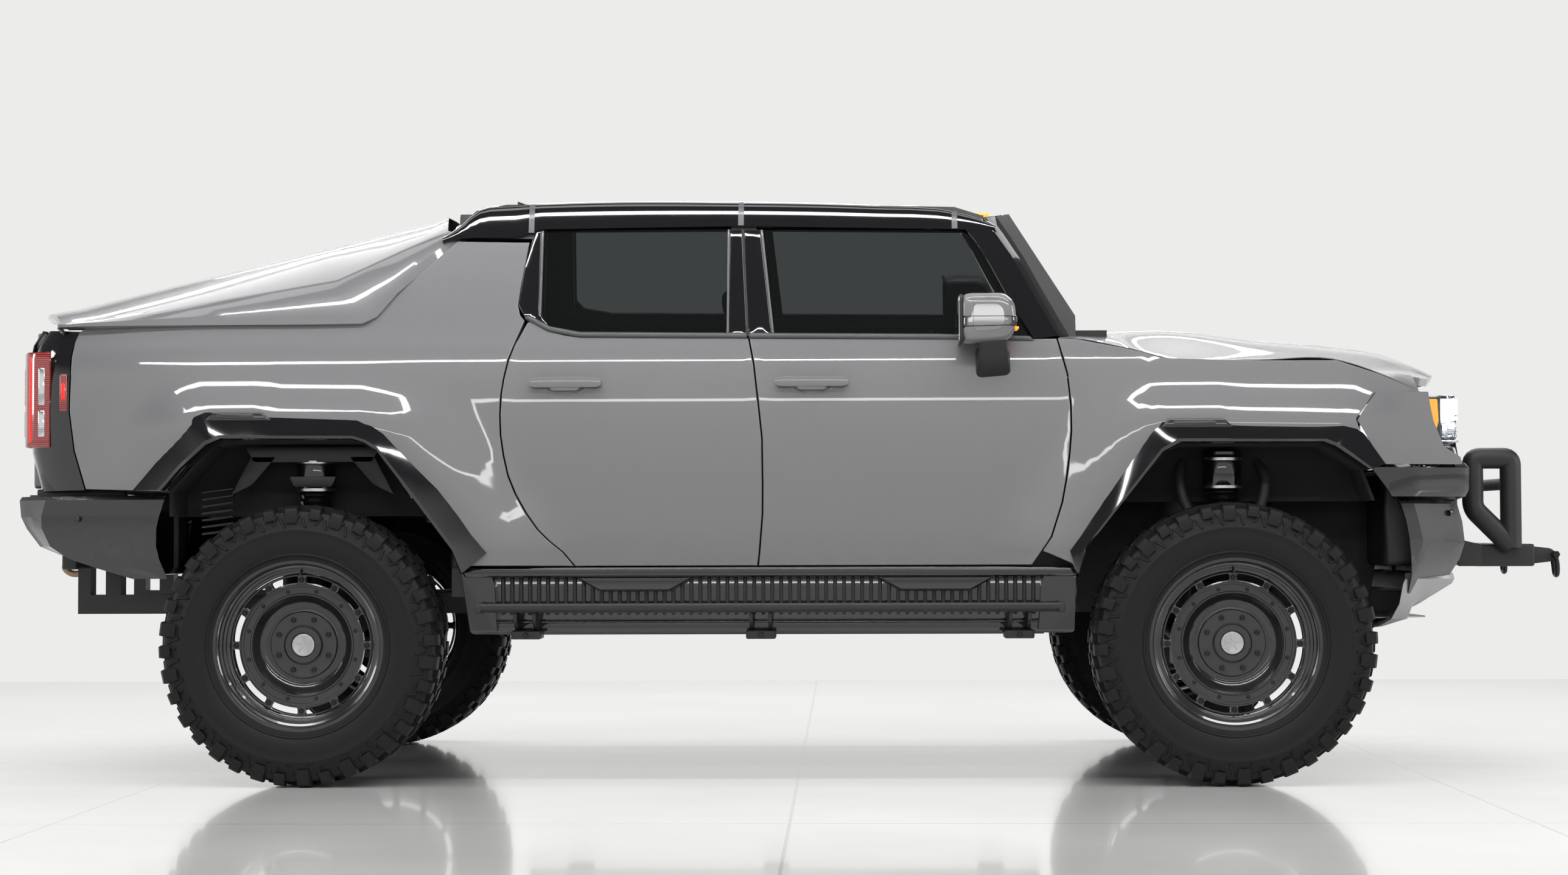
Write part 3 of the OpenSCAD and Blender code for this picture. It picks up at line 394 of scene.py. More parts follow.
def pressed_panel(name, outline, surface, cell=0.05, hem=0.0035, depth=0.018, corner=0.0, holes=()):
    """A thin pressing: an outline in its own two coordinates laid on a smooth surface, with its
    edges rolled over and turned in. Returns its mesh, facing away from the surface's inside."""
    loops = []
    for k, ring in enumerate([outline] + list(holes)):
        ring = clean(list(ring))
        if corner:
            ring = clean(round_corners(ring, corner))
        ring = clean(resample(ring, cell * 0.6))
        if (area_of(ring) < 0) != (k > 0):
            ring = ring[::-1]
        loops.append(ring)
    faces_in = [inset_outline(ring, hem) for ring in loops]
    boundary = np.concatenate(faces_in)
    edges = []
    start = 0
    for ring in loops:
        edges += [(start + i, start + (i + 1) % len(ring)) for i in range(len(ring))]
        start += len(ring)
    low, high = boundary.min(0), boundary.max(0)
    gx, gy = np.meshgrid(np.arange(low[0], high[0], cell), np.arange(low[1], high[1], cell))
    gx, gy = gx.ravel(), gy.ravel()
    keep = inside(loops[0], gx, gy)
    for ring in loops[1:]:
        keep &= ~inside(ring, gx, gy)
    for ring in loops:
        keep &= distance_to(ring + [ring[0]], gx, gy) > cell * 0.45
    verts2 = [Vector(p) for p in np.concatenate([boundary, np.stack([gx[keep], gy[keep]], 1)])]
    made = delaunay_2d_cdt(verts2, edges, [], 1, 1e-6)
    flat = np.array([tuple(v) for v in made[0]])
    tris = [tuple(f) for f in made[2]]
    centres = np.array([flat[list(f)].mean(0) for f in tris])
    ok = inside([tuple(p) for p in faces_in[0]], centres[:, 0], centres[:, 1])
    for ring in faces_in[1:]:
        ok &= ~inside([tuple(p) for p in ring], centres[:, 0], centres[:, 1])
    tris = [f for f, k in zip(tris, ok) if k]

    def lay(p, drop=0.0, lean=None):
        p = np.asarray(p)
        h = 1e-3
        at = surface(p[:, 0], p[:, 1])
        du = surface(p[:, 0] + h, p[:, 1]) - surface(p[:, 0] - h, p[:, 1])
        dv = surface(p[:, 0], p[:, 1] + h) - surface(p[:, 0], p[:, 1] - h)
        n = np.cross(du, dv)
        n /= np.linalg.norm(n, axis=1)[:, None]
        return at - n * drop, n, du, dv

    points, normals, du, dv = lay(flat)
    points, normals = list(points), list(normals)
    back = {}
    start = 0
    for ring, ring_in in zip(loops, faces_in):
        ring = np.array(ring)
        out2 = ring - ring_in
        out2 /= np.linalg.norm(out2, axis=1)[:, None] + 1e-12
        count = len(ring)
        rows = [list(range(start, start + count))]
        start += count
        # the constrained triangulation may renumber, so find each edge point again
        rows[0] = [int(np.argmin(((flat - p) ** 2).sum(1))) for p in ring_in]
        for shift, drop, tilt in ((0.35, 0.3 * hem, 0.5), (0.0, hem, 1.0), (0.0, depth, 1.0)):
            p2 = ring - out2 * hem * shift
            at, n, u, v = lay(p2, drop)
            side = u * out2[:, :1] + v * out2[:, 1:]
            side -= n * (side * n).sum(1)[:, None]
            side /= np.linalg.norm(side, axis=1)[:, None] + 1e-12
            mixed_n = n * (1 - tilt) + side * tilt
            mixed_n /= np.linalg.norm(mixed_n, axis=1)[:, None]
            rows.append(list(range(len(points), len(points) + count)))
            points += list(at)
            normals += list(mixed_n)
        for a, b in zip(rows[:-1], rows[1:]):
            for i in range(count):
                j = (i + 1) % count
                tris.append((a[j], a[i], b[i], b[j]))
    mesh = build_mesh(name, points, tris)
    mesh.normals_split_custom_set_from_vertices([tuple(n) for n in normals])
    return mesh


def mirrored(mesh, name):
    """Left-hand copy of a right-hand mesh, with its faces turned the right way and its shading kept."""
    points = [(v.co[0], -v.co[1], v.co[2]) for v in mesh.vertices]
    faces = [tuple(reversed(p.vertices)) for p in mesh.polygons]
    made = build_mesh(name, points, faces)
    made.polygons.foreach_set("use_smooth", [p.use_smooth for p in mesh.polygons])
    if mesh.has_custom_normals:
        corner = {}
        for loop in mesh.loops:
            corner.setdefault(loop.vertex_index, Vector(mesh.corner_normals[loop.index].vector))
        made.normals_split_custom_set_from_vertices([(corner[i][0], -corner[i][1],
            corner[i][2]) if i in corner else (0, 0, 1) for i in range(len(points))])
    for m in mesh.materials:
        made.materials.append(m)
    made.polygons.foreach_set("material_index", [p.material_index for p in mesh.polygons])
    return made


def place(name, mesh, material, body, slot_name, stands_for=()):
    made = add_object(name, mesh)
    if not mesh.materials:
        mesh.materials.append(material)
    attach(made, body)
    if stands_for:
        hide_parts(*stands_for)
    return made


def place_pair(name, mesh, material, bodies, slot_name, stands_for=((), ())):
    """The right-hand piece and its left-hand twin, on a right and a left body or on one body."""
    if isinstance(bodies, str):
        bodies = (bodies, bodies)
    other = mirrored(mesh, name + "_left")
    right = place(name + "_right", mesh, material, bodies[0], slot_name, stands_for[0])
    left = place(name + "_left", other, material, bodies[1], slot_name, stands_for[1])
    return right, left


seam = centre([(-29, 810), (-23, 865), (-12, 1000), (-11, 1106), (-13, 1281), (-25, 1398), (-43, 1560),
    (-62, 1659)])
front_cut = front([(-636, 1652), (-622, 1600), (-601, 1520), (-589, 1400), (-588, 1310), (-595, 1226),
    (-608, 1130), (-625, 1040), (-665, 915), (-700, 862), (-735, 810)])
rear_cut = rear([(1011, 810), (967, 862), (915, 905), (873, 948), (830, 1010), (791, 1080), (763, 1150),
    (746, 1225), (735, 1300), (733, 1375), (737, 1450), (747, 1513), (762, 1580), (784, 1640), (826, 1722)])
rear_belt = rear([(838, 1728), (908, 1690), (965, 1674), (1026, 1665)])


def shifted(points, dx):
    return [(x + dx, z) for x, z in points]


door_front_line = shifted(seam, shut / 2) + shifted(front_cut, -shut / 2)
door_rear_line = (shifted(seam[::-1], -shut / 2) + shifted(rear_cut, shut / 2) + shifted(rear_belt,
    shut / 2) + centre([(-132, 1661)]))
skin = pressed_panel("door_front_skin", door_front_line, right_side)
place_pair("door_front_skin", skin, paint, ("door_front_right", "door_front_left"), "body_paint")
skin = pressed_panel("door_rear_skin", door_rear_line, right_side)
place_pair("door_rear_skin", skin, paint, ("door_rear_right", "door_rear_left"), "body_paint")

quarter_line = (shifted(rear_cut[:14], -shut / 2) + rear([(818, 1730), (800, 1752), (792, 1790), (800, 1860),
    (812, 1934), (826, 2034), (552, 2040), (330, 1832), (257, 1744), (225, 1727), (205, 1722), (-835, 1716),
    (-866, 1696), (-880, 1656), (-886, 1597), (-887, 1392), (-867, 1246),
    (-821, 1102)]) + arch_rear + rear([(606, 812)]))
skin = pressed_panel("quarter_skin", quarter_line, right_side)
place_pair("quarter_skin", skin, paint, "chassis", "body_paint", (("bed_sides",), ()))

wing_line = (shifted(front_cut[:-1], shut / 2)[::-1] + front([(-632, 1654), (-560, 1650), (-400, 1618),
    (-330, 1602), (-250, 1578), (100, 1566), (394, 1566), (560, 1512), (640, 1478), (708, 1447), (533, 1442),
    (457, 1346), (500, 1212)]) + arch_front[::-1] + front([(-590, 815)]))
skin = pressed_panel("wing_skin", wing_line, right_side)
place_pair("wing_skin", skin, paint, "chassis", "body_paint", (("front_wings",), ()))

# ---- Wheels ----
# Cast aluminium wheels, machined in stepped rings and powder-coated gloss black. A bolted outer ring
# stands over a deep centre, and the windows between them show the barrel.
def spin_mesh(name, profile, steps=96, close=True):
    """Turns a profile of (radius, distance along the axle) about the Y axis."""
    angles = np.linspace(0, 2 * math.pi, steps, endpoint=False)
    points = [(r * math.cos(a), o, r * math.sin(a)) for a in angles for r, o in profile]
    n = len(profile)
    faces = []
    for k in range(steps):
        a, b = k * n, (k + 1) % steps * n
        for i in range(n if close else n - 1):
            j = (i + 1) % n
            faces.append((a + i, a + j, b + j, b + i))
    return tidy_mesh(name, points, faces)


def tidy_mesh(name, points, faces, angle=32):
    """Mesh with doubles joined, faces turned outward and edges sharper than an angle kept sharp."""
    mesh = build_mesh(name, points, faces)
    bm = bmesh.new()
    bm.from_mesh(mesh)
    bmesh.ops.remove_doubles(bm, verts=bm.verts, dist=1e-5)
    bmesh.ops.recalc_face_normals(bm, faces=bm.faces)
    bm.to_mesh(mesh)
    bm.free()
    mesh.polygons.foreach_set("use_smooth", [True] * len(mesh.polygons))
    mesh.set_sharp_from_angle(angle=math.radians(angle))
    return mesh


def merged(name, meshes):
    """One mesh out of several, each with its own material slot."""
    points, faces, slots, mats, sharp = [], [], [], [], []
    for mesh in meshes:
        start = len(points)
        points += [tuple(v.co) for v in mesh.vertices]
        base = []
        for m in mesh.materials:
            if m not in mats:
                mats.append(m)
            base.append(mats.index(m))
        for p in mesh.polygons:
            faces.append(tuple(v + start for v in p.vertices))
            slots.append(base[p.material_index] if base else 0)
        sharp += [tuple(sorted((e.vertices[0] + start,
            e.vertices[1] + start))) for e in mesh.edges if e.use_edge_sharp]
    made = build_mesh(name, points, faces)
    for m in mats:
        made.materials.append(m)
    made.polygons.foreach_set("material_index", slots)
    marked = set(sharp)
    for e in made.edges:
        if tuple(sorted(e.vertices)) in marked:
            e.use_edge_sharp = True
    return made


def with_material(mesh, material):
    mesh.materials.clear()
    mesh.materials.append(material)
    return mesh


# Quarter turns about the upright axis, as seen from above
turn_left = Matrix.Rotation(math.pi / 2, 3, "Z")
turn_right = Matrix.Rotation(-math.pi / 2, 3, "Z")


def put(parts, material, mesh):
    """Adds a mesh to a list of parts, in one material."""
    parts.append(with_material(mesh, material))


def moved_mesh(mesh, offset=(0, 0, 0), turn=None):
    made = mesh.copy()
    made.transform(Matrix.Translation(offset) @ (turn.to_4x4() if turn else Matrix.Identity(4)))
    return made


def smooth_box(name, low, high, round_by=0.004, segments=2):
    """A block with rounded edges."""
    bm = bmesh.new()
    bmesh.ops.create_cube(bm, size=1.0)
    low, high = np.minimum(low, high), np.maximum(low, high)
    for v in bm.verts:
        v.co = [(a + b) / 2 + c * (b - a) for a, b, c in zip(low, high, v.co)]
    bmesh.ops.bevel(bm, geom=bm.edges[:], offset=min(round_by, 0.45 * min(high - low)), segments=segments,
        profile=0.5, affect="EDGES")
    mesh = bpy.data.meshes.new(name)
    bm.to_mesh(mesh)
    bm.free()
    mesh.polygons.foreach_set("use_smooth", [True] * len(mesh.polygons))
    mesh.set_sharp_from_angle(angle=math.radians(50))
    return mesh


def smooth_plate(name, outline, y0, y1, round_by=0.004, segments=2, corner=0.0, axis="y"):
    """An outline given thickness along an axis, with its edges rounded."""
    ring = clean(round_corners(outline, corner) if corner else list(outline))
    if area_of(ring) < 0:
        ring = ring[::-1]
    order = {"y": lambda a, b, t: (a, t, b), "x": lambda a, b, t: (t, a, b),
        "z": lambda a, b, t: (a, b, t)}[axis]
    n = len(ring)
    points = [order(a, b, y0) for a, b in ring] + [order(a, b, y1) for a, b in ring]
    faces = [tuple(range(n)), tuple(range(2 * n - 1, n - 1, -1))]
    faces += [(i, (i + 1) % n, n + (i + 1) % n, n + i) for i in range(n)]
    bm = bmesh.new()
    verts = [bm.verts.new(p) for p in points]
    for f in faces:
        bm.faces.new([verts[i] for i in f])
    bmesh.ops.recalc_face_normals(bm, faces=bm.faces)
    if round_by:
        bmesh.ops.bevel(bm, geom=bm.edges[:], offset=round_by, segments=segments, profile=0.5, affect="EDGES",
            clamp_overlap=True)
    bmesh.ops.triangulate(bm, faces=[f for f in bm.faces if len(f.verts) > 4])
    mesh = bpy.data.meshes.new(name)
    bm.to_mesh(mesh)
    bm.free()
    mesh.polygons.foreach_set("use_smooth", [True] * len(mesh.polygons))
    mesh.set_sharp_from_angle(angle=math.radians(40))
    return mesh


def pipe(name, path, radius, sides=20, bend=0.0):
    """A round bar along a path, with rounded bends and closed ends."""
    path = [Vector(p) for p in path]
    if bend:
        soft = [path[0]]
        for a, p, b in zip(path[:-2], path[1:-1], path[2:]):
            r = min(bend, (a - p).length * 0.45, (b - p).length * 0.45)
            s, e = p + (a - p).normalized() * r, p + (b - p).normalized() * r
            soft += [s * (1 - t) ** 2 + p * 2 * t * (1 - t) + e * t * t for t in np.linspace(0, 1, 7)]
        path = soft + [path[-1]]
    ahead = (path[1] - path[0]).normalized()
    side = ahead.orthogonal().normalized()
    points, faces = [], []
    for i, p in enumerate(path):
        a = path[max(i - 1, 0)]
        b = path[min(i + 1, len(path) - 1)]
        ahead = (b - a).normalized()
        side = (side - ahead * side.dot(ahead)).normalized()
        up = ahead.cross(side)
        for k in range(sides):
            t = 2 * math.pi * k / sides
            points.append(p + side * (radius * math.cos(t)) + up * (radius * math.sin(t)))
    for i in range(len(path) - 1):
        for k in range(sides):
            j = (k + 1) % sides
            faces.append((i * sides + k, i * sides + j, (i + 1) * sides + j, (i + 1) * sides + k))
    faces.append(tuple(range(sides - 1, -1, -1)))
    faces.append(tuple(range((len(path) - 1) * sides, len(path) * sides)))
    return tidy_mesh(name, points, faces, 40)


def hex_bolt(name, radius, height, sides=6, washer=0.0, recess=0.0):
    """A bolt head standing along -Y from the plane y = 0, with a washer or a socket if wanted."""
    rings = [(radius, 0.0), (radius, -height * 0.82), (radius * 0.86, -height)]
    if recess:
        rings += [(radius * 0.55, -height), (radius * 0.5, -height + recess)]
    points, faces = [], []
    for r, y in rings:
        points += [(r * math.cos(2 * math.pi * k / sides), y,
            r * math.sin(2 * math.pi * k / sides)) for k in range(sides)]
    for i in range(len(rings) - 1):
        for k in range(sides):
            j = (k + 1) % sides
            faces.append((i * sides + k, i * sides + j, (i + 1) * sides + j, (i + 1) * sides + k))
    faces.append(tuple(range(len(points) - sides, len(points))))
    faces.append(tuple(range(sides)))
    parts = [tidy_mesh(name, points, faces, 25)]
    if washer:
        parts.append(spin_mesh(name, [(0.0005, 0), (washer, 0), (washer, -height * 0.2),
            (0.0005, -height * 0.2)], 14, True))
    return merged(name, parts)


def part_tool(name, **inputs):
    """A new node tool that takes a mesh, a count, a material and the inputs named, with its two ends."""
    tool = bpy.data.node_groups.new(name, "GeometryNodeTree")
    for title, kind in (("Geometry", "Geometry"), ("Count", "Int"), *inputs.items(),
            ("Material", "Material")):
        tool.interface.new_socket(title, in_out="INPUT", socket_type="NodeSocket" + kind)
    tool.interface.new_socket("Geometry", in_out="OUTPUT", socket_type="NodeSocketGeometry")
    return tool, tool.nodes.new("NodeGroupInput"), tool.nodes.new("NodeGroupOutput")


def set_on_points(tool, given, result, points, **turn):
    """Ends a node tool: the mesh is set on the points, made real and given its material."""
    copies = add_node(tool, "GeometryNodeInstanceOnPoints", None, Points=points,
        Instance=given.outputs["Geometry"], **turn)
    real = add_node(tool, "GeometryNodeRealizeInstances", None, Geometry=copies.outputs[0])
    dressed = add_node(tool, "GeometryNodeSetMaterial", None, Geometry=real.outputs[0],
        Material=given.outputs["Material"])
    tool.links.new(dressed.outputs[0], result.inputs[0])


# Repeats the mesh round the Y axis
ring_tool, ring_in, ring_out = part_tool("ring_of_parts", Phase="Float")
spots = add_node(ring_tool, "GeometryNodePoints", None, Count=ring_in.outputs["Count"])
number = ring_tool.nodes.new("GeometryNodeInputIndex")
share = add_node(ring_tool, "ShaderNodeMath", {"operation": "DIVIDE"}, i0=number.outputs[0],
    i1=ring_in.outputs["Count"])
turned = add_node(ring_tool, "ShaderNodeMath", {"operation": "MULTIPLY_ADD"}, i0=share.outputs[0],
    i1=2 * math.pi, i2=ring_in.outputs["Phase"])
heading = add_node(ring_tool, "ShaderNodeCombineXYZ", None, Y=turned.outputs[0])
set_on_points(ring_tool, ring_in, ring_out, spots.outputs[0], Rotation=heading.outputs[0])


def run_tool(tool, mesh, **inputs):
    """Runs a node tool on a mesh once and returns the finished mesh."""
    holder = add_object("tool_holder", mesh)
    modifier = holder.modifiers.new("tool", "NODES")
    modifier.node_group = tool
    names = {item.name: item.identifier for item in tool.interface.items_tree if item.in_out == "INPUT"}
    for key, value in inputs.items():
        modifier[names[key.replace("_", " ")]] = value
    holder.update_tag()
    bpy.context.view_layer.update()
    graph = bpy.context.evaluated_depsgraph_get()
    made = bpy.data.meshes.new_from_object(holder.evaluated_get(graph), preserve_all_data_layers=True,
        depsgraph=graph)
    bpy.data.objects.remove(holder)
    return made


rim_mat = worn_material("wheel_gloss_black", (0.008, 0.008, 0.009), 0.2, coat=0.5, dust=0.06, variation=0.1,
    peel=0.03, peel_scale=500.0)
bolt_mat = worn_material("bolt_black_zinc", (0.03, 0.03, 0.032), 0.32, metallic=0.9, dust=0.05, peel=0.05)
emblem_mat, tree, shader = new_material("cap_brushed_metal")
where = add_node(tree, "ShaderNodeTexCoord")
marks = add_node(tree, "ShaderNodeTexNoise", None, Vector=where.outputs["Object"], Scale=55.0, Detail=4.0)
spread = add_node(tree, "ShaderNodeMapRange", None, Value=marks.outputs["Fac"], To_Min=0.22, To_Max=0.5)
tree.links.new(spread.outputs[0], shader.inputs["Roughness"])
shader.inputs["Base Color"].default_value = (0.48, 0.48, 0.49, 1)
shader.inputs["Metallic"].default_value = 1.0

wheel_y = 0.995
barrel = [(0.3045, 0.146), (0.3235, 0.146), (0.3235, 0.139), (0.306, 0.137), (0.3045, 0.118), (0.2995, 0.105),
    (0.2995, -0.105), (0.3045, -0.118), (0.306, -0.137), (0.3235, -0.139), (0.3235, -0.146), (0.3045, -0.146),
    (0.297, -0.135), (0.289, -0.1), (0.285, -0.02), (0.283, 0.05), (0.272, 0.062), (0.266, 0.078),
    (0.270, 0.0815), (0.277, 0.0835), (0.279, 0.096), (0.2865, 0.1), (0.289, 0.113), (0.2965, 0.118),
    (0.299, 0.134), (0.3035, 0.139)]
disc = [(0.232, 0.078), (0.2275, 0.0795), (0.2255, 0.074), (0.2175, 0.0735), (0.2160, 0.0695),
    (0.193, 0.0695), (0.1905, 0.0725), (0.1855, 0.0725), (0.1825, 0.068), (0.166, 0.036), (0.148, 0.024),
    (0.130, 0.0215), (0.1255, 0.0235), (0.124, 0.035), (0.1215, 0.0375), (0.074, 0.0385), (0.0725, 0.0335),
    (0.0705, 0.0335), (0.0695, 0.047), (0.0665, 0.050), (0.046, 0.0505), (0.0435, 0.0465), (0.0005, 0.0465),
    (0.0005, 0.004), (0.165, 0.004), (0.184, 0.048), (0.232, 0.058)]
ring_plate = [(0.2645, 0.0785), (0.2605, 0.0805), (0.257, 0.079), (0.2555, 0.058), (0.2645, 0.056)]
outer_parts = [spin_mesh("barrel", barrel, 120), spin_mesh("disc", disc, 120),
    spin_mesh("ring", ring_plate, 120)]
boss = smooth_plate("boss", [(-0.021, 0.226), (0.021, 0.226), (0.014, 0.236), (0.0135, 0.25), (0.02, 0.2605),
    (-0.02, 0.2605), (-0.0135, 0.25), (-0.014, 0.236)], 0.05, 0.082, 0.0015, 2)
outer_parts.append(run_tool(ring_tool, boss, Count=12, Phase=0.0, Material=rim_mat))
outer_parts = [with_material(m, rim_mat) for m in outer_parts]


def outward(mesh, o, r):
    """Sets a bolt head on the wheel's face at a radius; the head points out of the wheel."""
    return moved_mesh(mesh, (0, o, r), Matrix.Rotation(math.pi, 3, "Z"))


socket = outward(hex_bolt("socket_bolt", 0.0085, 0.009, 12, 0.0115, 0.006), 0.082, 0.243)
outer_parts.append(run_tool(ring_tool, socket, Count=12, Phase=0.0, Material=bolt_mat))
small = outward(hex_bolt("small_bolt", 0.0058, 0.005, 6, 0.008), 0.0695, 0.2045)
outer_parts.append(run_tool(ring_tool, small, Count=12, Phase=math.pi / 12, Material=bolt_mat))
nut_seat = moved_mesh(spin_mesh("nut_seat", [(0.0145, 0), (0.0165, 0), (0.0165, 0.0022), (0.0145, 0.0022)],
    20), (0, 0.0375, 0.1))
outer_parts.append(run_tool(ring_tool, nut_seat, Count=8, Phase=math.pi / 8, Material=rim_mat))
nut = outward(hex_bolt("lug_nut", 0.0105, 0.011, 6, 0.0, 0.005), 0.0372, 0.1)
outer_parts.append(run_tool(ring_tool, nut, Count=8, Phase=math.pi / 8, Material=bolt_mat))
emblem = spin_mesh("emblem", [(0.0005, 0.0466), (0.041, 0.0466), (0.041, 0.0486), (0.0395, 0.0492),
    (0.0345, 0.0488), (0.032, 0.0478), (0.0005, 0.0478)], 60)
facets = smooth_plate("emblem_bar", [(-0.0035, 0.007), (0.0035, 0.007), (0.005, 0.03), (-0.005, 0.03)],
    0.0478, 0.0495, 0.0006, 1)
outer_parts += [with_material(emblem, emblem_mat), run_tool(ring_tool, facets, Count=5, Phase=0.0,
    Material=emblem_mat)]
valve = pipe("valve", [(0, 0.082, 0.273), (0, 0.108, 0.265)], 0.004, 10)
put(outer_parts, satin_black, valve)
rim_mesh = merged("rim", outer_parts)

# ---- Tyres ----
# Mud tyres, 41 inches across, of moulded rubber: interlocking centre blocks, heavy shoulder lugs
# that wrap on to the sidewall, a zigzag of small bars below them and a plain bead ring.
rubber, tree, shader = new_material("tyre_rubber")
wear = add_node(tree, "ShaderNodeGroup", {"node_tree": wear_group}, Color=(0.0075, 0.0073, 0.0072, 1),
    Dust_Color=(0.06, 0.056, 0.05, 1), Dust=0.08, Roughness=0.5, Variation=0.35, Scale=9.0, Peel=0.35,
    Peel_Scale=600.0)
for socket_name, output in (("Base Color", "Color"), ("Roughness", "Roughness"), ("Normal", "Normal")):
    tree.links.new(wear.outputs[output], shader.inputs[socket_name])
shader.inputs["Specular IOR Level"].default_value = 0.22


def tread_block(stations):
    """A lug from cross sections: distance along the axle, radius of its top and its foot, two angles."""
    points, faces = [], []
    for y, top, foot, a0, a1 in stations:
        lean = 0.0025 / 0.5
        for r, a in ((foot, a0 - lean), (top, a0 + lean), (top, a1 - lean), (foot, a1 + lean)):
            points.append((r * math.sin(a), y, r * math.cos(a)))
    for i in range(len(stations) - 1):
        for k in range(4):
            j = (k + 1) % 4
            faces.append((4 * i + k, 4 * i + j, 4 * i + 4 + j, 4 * i + 4 + k))
    faces += [(3, 2, 1, 0), tuple(range(len(points) - 4, len(points)))]
    return tidy_mesh("lug", points, faces, 28)


carcass_half = [(0.3045, 0.143), (0.3285, 0.1495), (0.334, 0.157), (0.3385, 0.1585), (0.342, 0.156),
    (0.350, 0.1605), (0.372, 0.1665), (0.400, 0.1693), (0.420, 0.1683), (0.424, 0.1700), (0.428, 0.1700),
    (0.432, 0.1678), (0.458, 0.163), (0.480, 0.156), (0.495, 0.146), (0.5015, 0.128), (0.504, 0.06),
    (0.5045, 0.0)]
carcass = carcass_half + [(r, -o) for r, o in carcass_half[-2::-1]]
carcass_in = [(0.298, -0.12), (0.31, -0.13), (0.48, -0.135), (0.49, 0.0), (0.48, 0.135), (0.31, 0.13),
    (0.298, 0.12)]
tyre_parts = [spin_mesh("carcass", carcass + carcass_in, 144)]
step = 2 * math.pi / 18
lugs = []
for side in (1, -1):
    shift = 0.0 if side > 0 else 0.25 * step
    for k, (w, reach) in enumerate(((0.29, 0.458), (0.25, 0.474))):
        a = shift + k * step / 2
        lugs.append(tread_block([(side * 0.090, 0.5185, 0.498, a + 0.03 * step, a + (w - 0.03) * step),
            (side * 0.112, 0.5185, 0.498, a - 0.02 * step, a + w * step),
            (side * 0.147, 0.5165, 0.494, a, a + w * step), (side * 0.163, 0.507, 0.485, a,
            a + (w - 0.01) * step), (side * 0.169, 0.492, 0.474, a + 0.01 * step, a + (w - 0.02) * step),
            (side * 0.1705, reach, reach - 0.004, a + 0.03 * step, a + (w - 0.04) * step)]))
    for k in range(2):
        a = shift + (0.12 + 0.5 * k) * step
        lugs.append(tread_block([(side * 0.008, 0.5195, 0.5, a, a + 0.30 * step),
            (side * 0.034, 0.5195, 0.5, a + 0.02 * step, a + 0.34 * step),
            (side * 0.040, 0.5195, 0.5, a + 0.15 * step, a + 0.36 * step),
            (side * 0.078, 0.519, 0.499, a + 0.19 * step, a + 0.40 * step)]))
    for k in range(4):
        a = shift + (0.06 + 0.25 * k) * step
        foot, top = (0.440, 0.476) if k % 2 else (0.452, 0.482)
        slant = 0.09 * step if k % 2 else -0.09 * step
        points = []
        for r, off in ((foot, 0.0), (top, slant)):
            y = np.interp(r, [0.432, 0.458, 0.480], [0.1678, 0.163, 0.156])
            for da, up in ((-0.022 * step * 2, -0.001), (-0.022 * step, 0.0045), (0.022 * step, 0.0045),
                    (0.022 * step * 2, -0.001)):
                points.append((r * math.sin(a + off + da), side * (y + up), r * math.cos(a + off + da)))
        lugs.append(tidy_mesh("bar", points, [(0, 1, 5, 4), (1, 2, 6, 5), (2, 3, 7, 6), (3, 0, 4, 7),
            (3, 2, 1, 0), (4, 5, 6, 7)], 28))
tyre_parts.append(run_tool(ring_tool, merged("pitch", lugs), Count=18, Phase=0.0, Material=rubber))
tyre_mesh = merged("tyre", [with_material(m, rubber) for m in tyre_parts])
for end, axle in (("front", axle_f), ("rear", axle_r)):
    for side, sign in (("right", -1), ("left", 1)):
        turn = Matrix.Rotation(math.pi if side == "right" else 0.0, 3, "Z")
        node = end + "_" + side
        for part, mesh, mat, slot_name in (("rim", rim_mesh, rim_mat, "rim"),
                ("tyre", tyre_mesh, rubber, "tyre")):
            spot = moved_mesh(mesh, (axle, sign * wheel_y, hub_z), turn)
            place("%s_%s_detail" % (part, node), spot, mat, "wheel_" + node, slot_name, (part + "_" + node,))

# ---- Arch flares, sills and running boards ----
# Flares and sill covers are gloss-black mouldings clipped over the arches and the foot of the body.
# Running boards are folded steel on three pairs of brackets, with ribbed treads.
def loft(name, rows, thickness=0.003, closed=False, flip=False, angle=30):
    """A sheet through rows of points, given thickness on its inner side and closed at its edges."""
    rows = [list(map(Vector, r)) for r in rows]
    n, m = len(rows), len(rows[0])
    faces = []
    for i in range(n - 1):
        for k in range(m if closed else m - 1):
            j = (k + 1) % m
            f = (i * m + k, i * m + j, (i + 1) * m + j, (i + 1) * m + k)
            faces.append(f[::-1] if flip else f)
    points = [p for r in rows for p in r]
    sheet = build_mesh(name, points, faces)
    inner = [p - Vector(sheet.vertex_normals[i].vector) * thickness for i, p in enumerate(points)]
    total = len(points)
    edge_count = {}
    for f in faces:
        for a, b in zip(f, f[1:] + f[:1]):
            edge_count[(a, b)] = edge_count.get((a, b), 0) + 1
    walls = [(b, a, a + total, b + total) for a, b in edge_count if (b, a) not in edge_count]
    return tidy_mesh(name, points + inner, faces + [tuple(v + total for v in f[::-1]) for f in faces] + walls,
        angle)


def flare(outer, inner, ease, name):
    """A flare between a line on the body and the arch's edge, with a raised shoulder and a turned-in lip."""
    stations = ((0.0, -0.004), (0.02, 0.014), (0.06, 0.026), (0.5, 0.040), (0.86, 0.050), (0.96, 0.047),
        (1.0, 0.038))
    rows = [[] for _ in range(len(stations) + 2)]
    for (x0, z0), (x1, z1) in zip(outer, inner):
        for k, (t, out) in enumerate(stations):
            x, z = x0 + (x1 - x0) * t, z0 + (z1 - z0) * t
            rows[k].append((x, -(half_body + 0.006 + out * ease), z))
        rows[-2].append((x1, -(half_body - 0.03), z1))
        rows[-1].append((x1, -(half_body - 0.16), z1))
    return loft(name, rows, 0.003, angle=24)


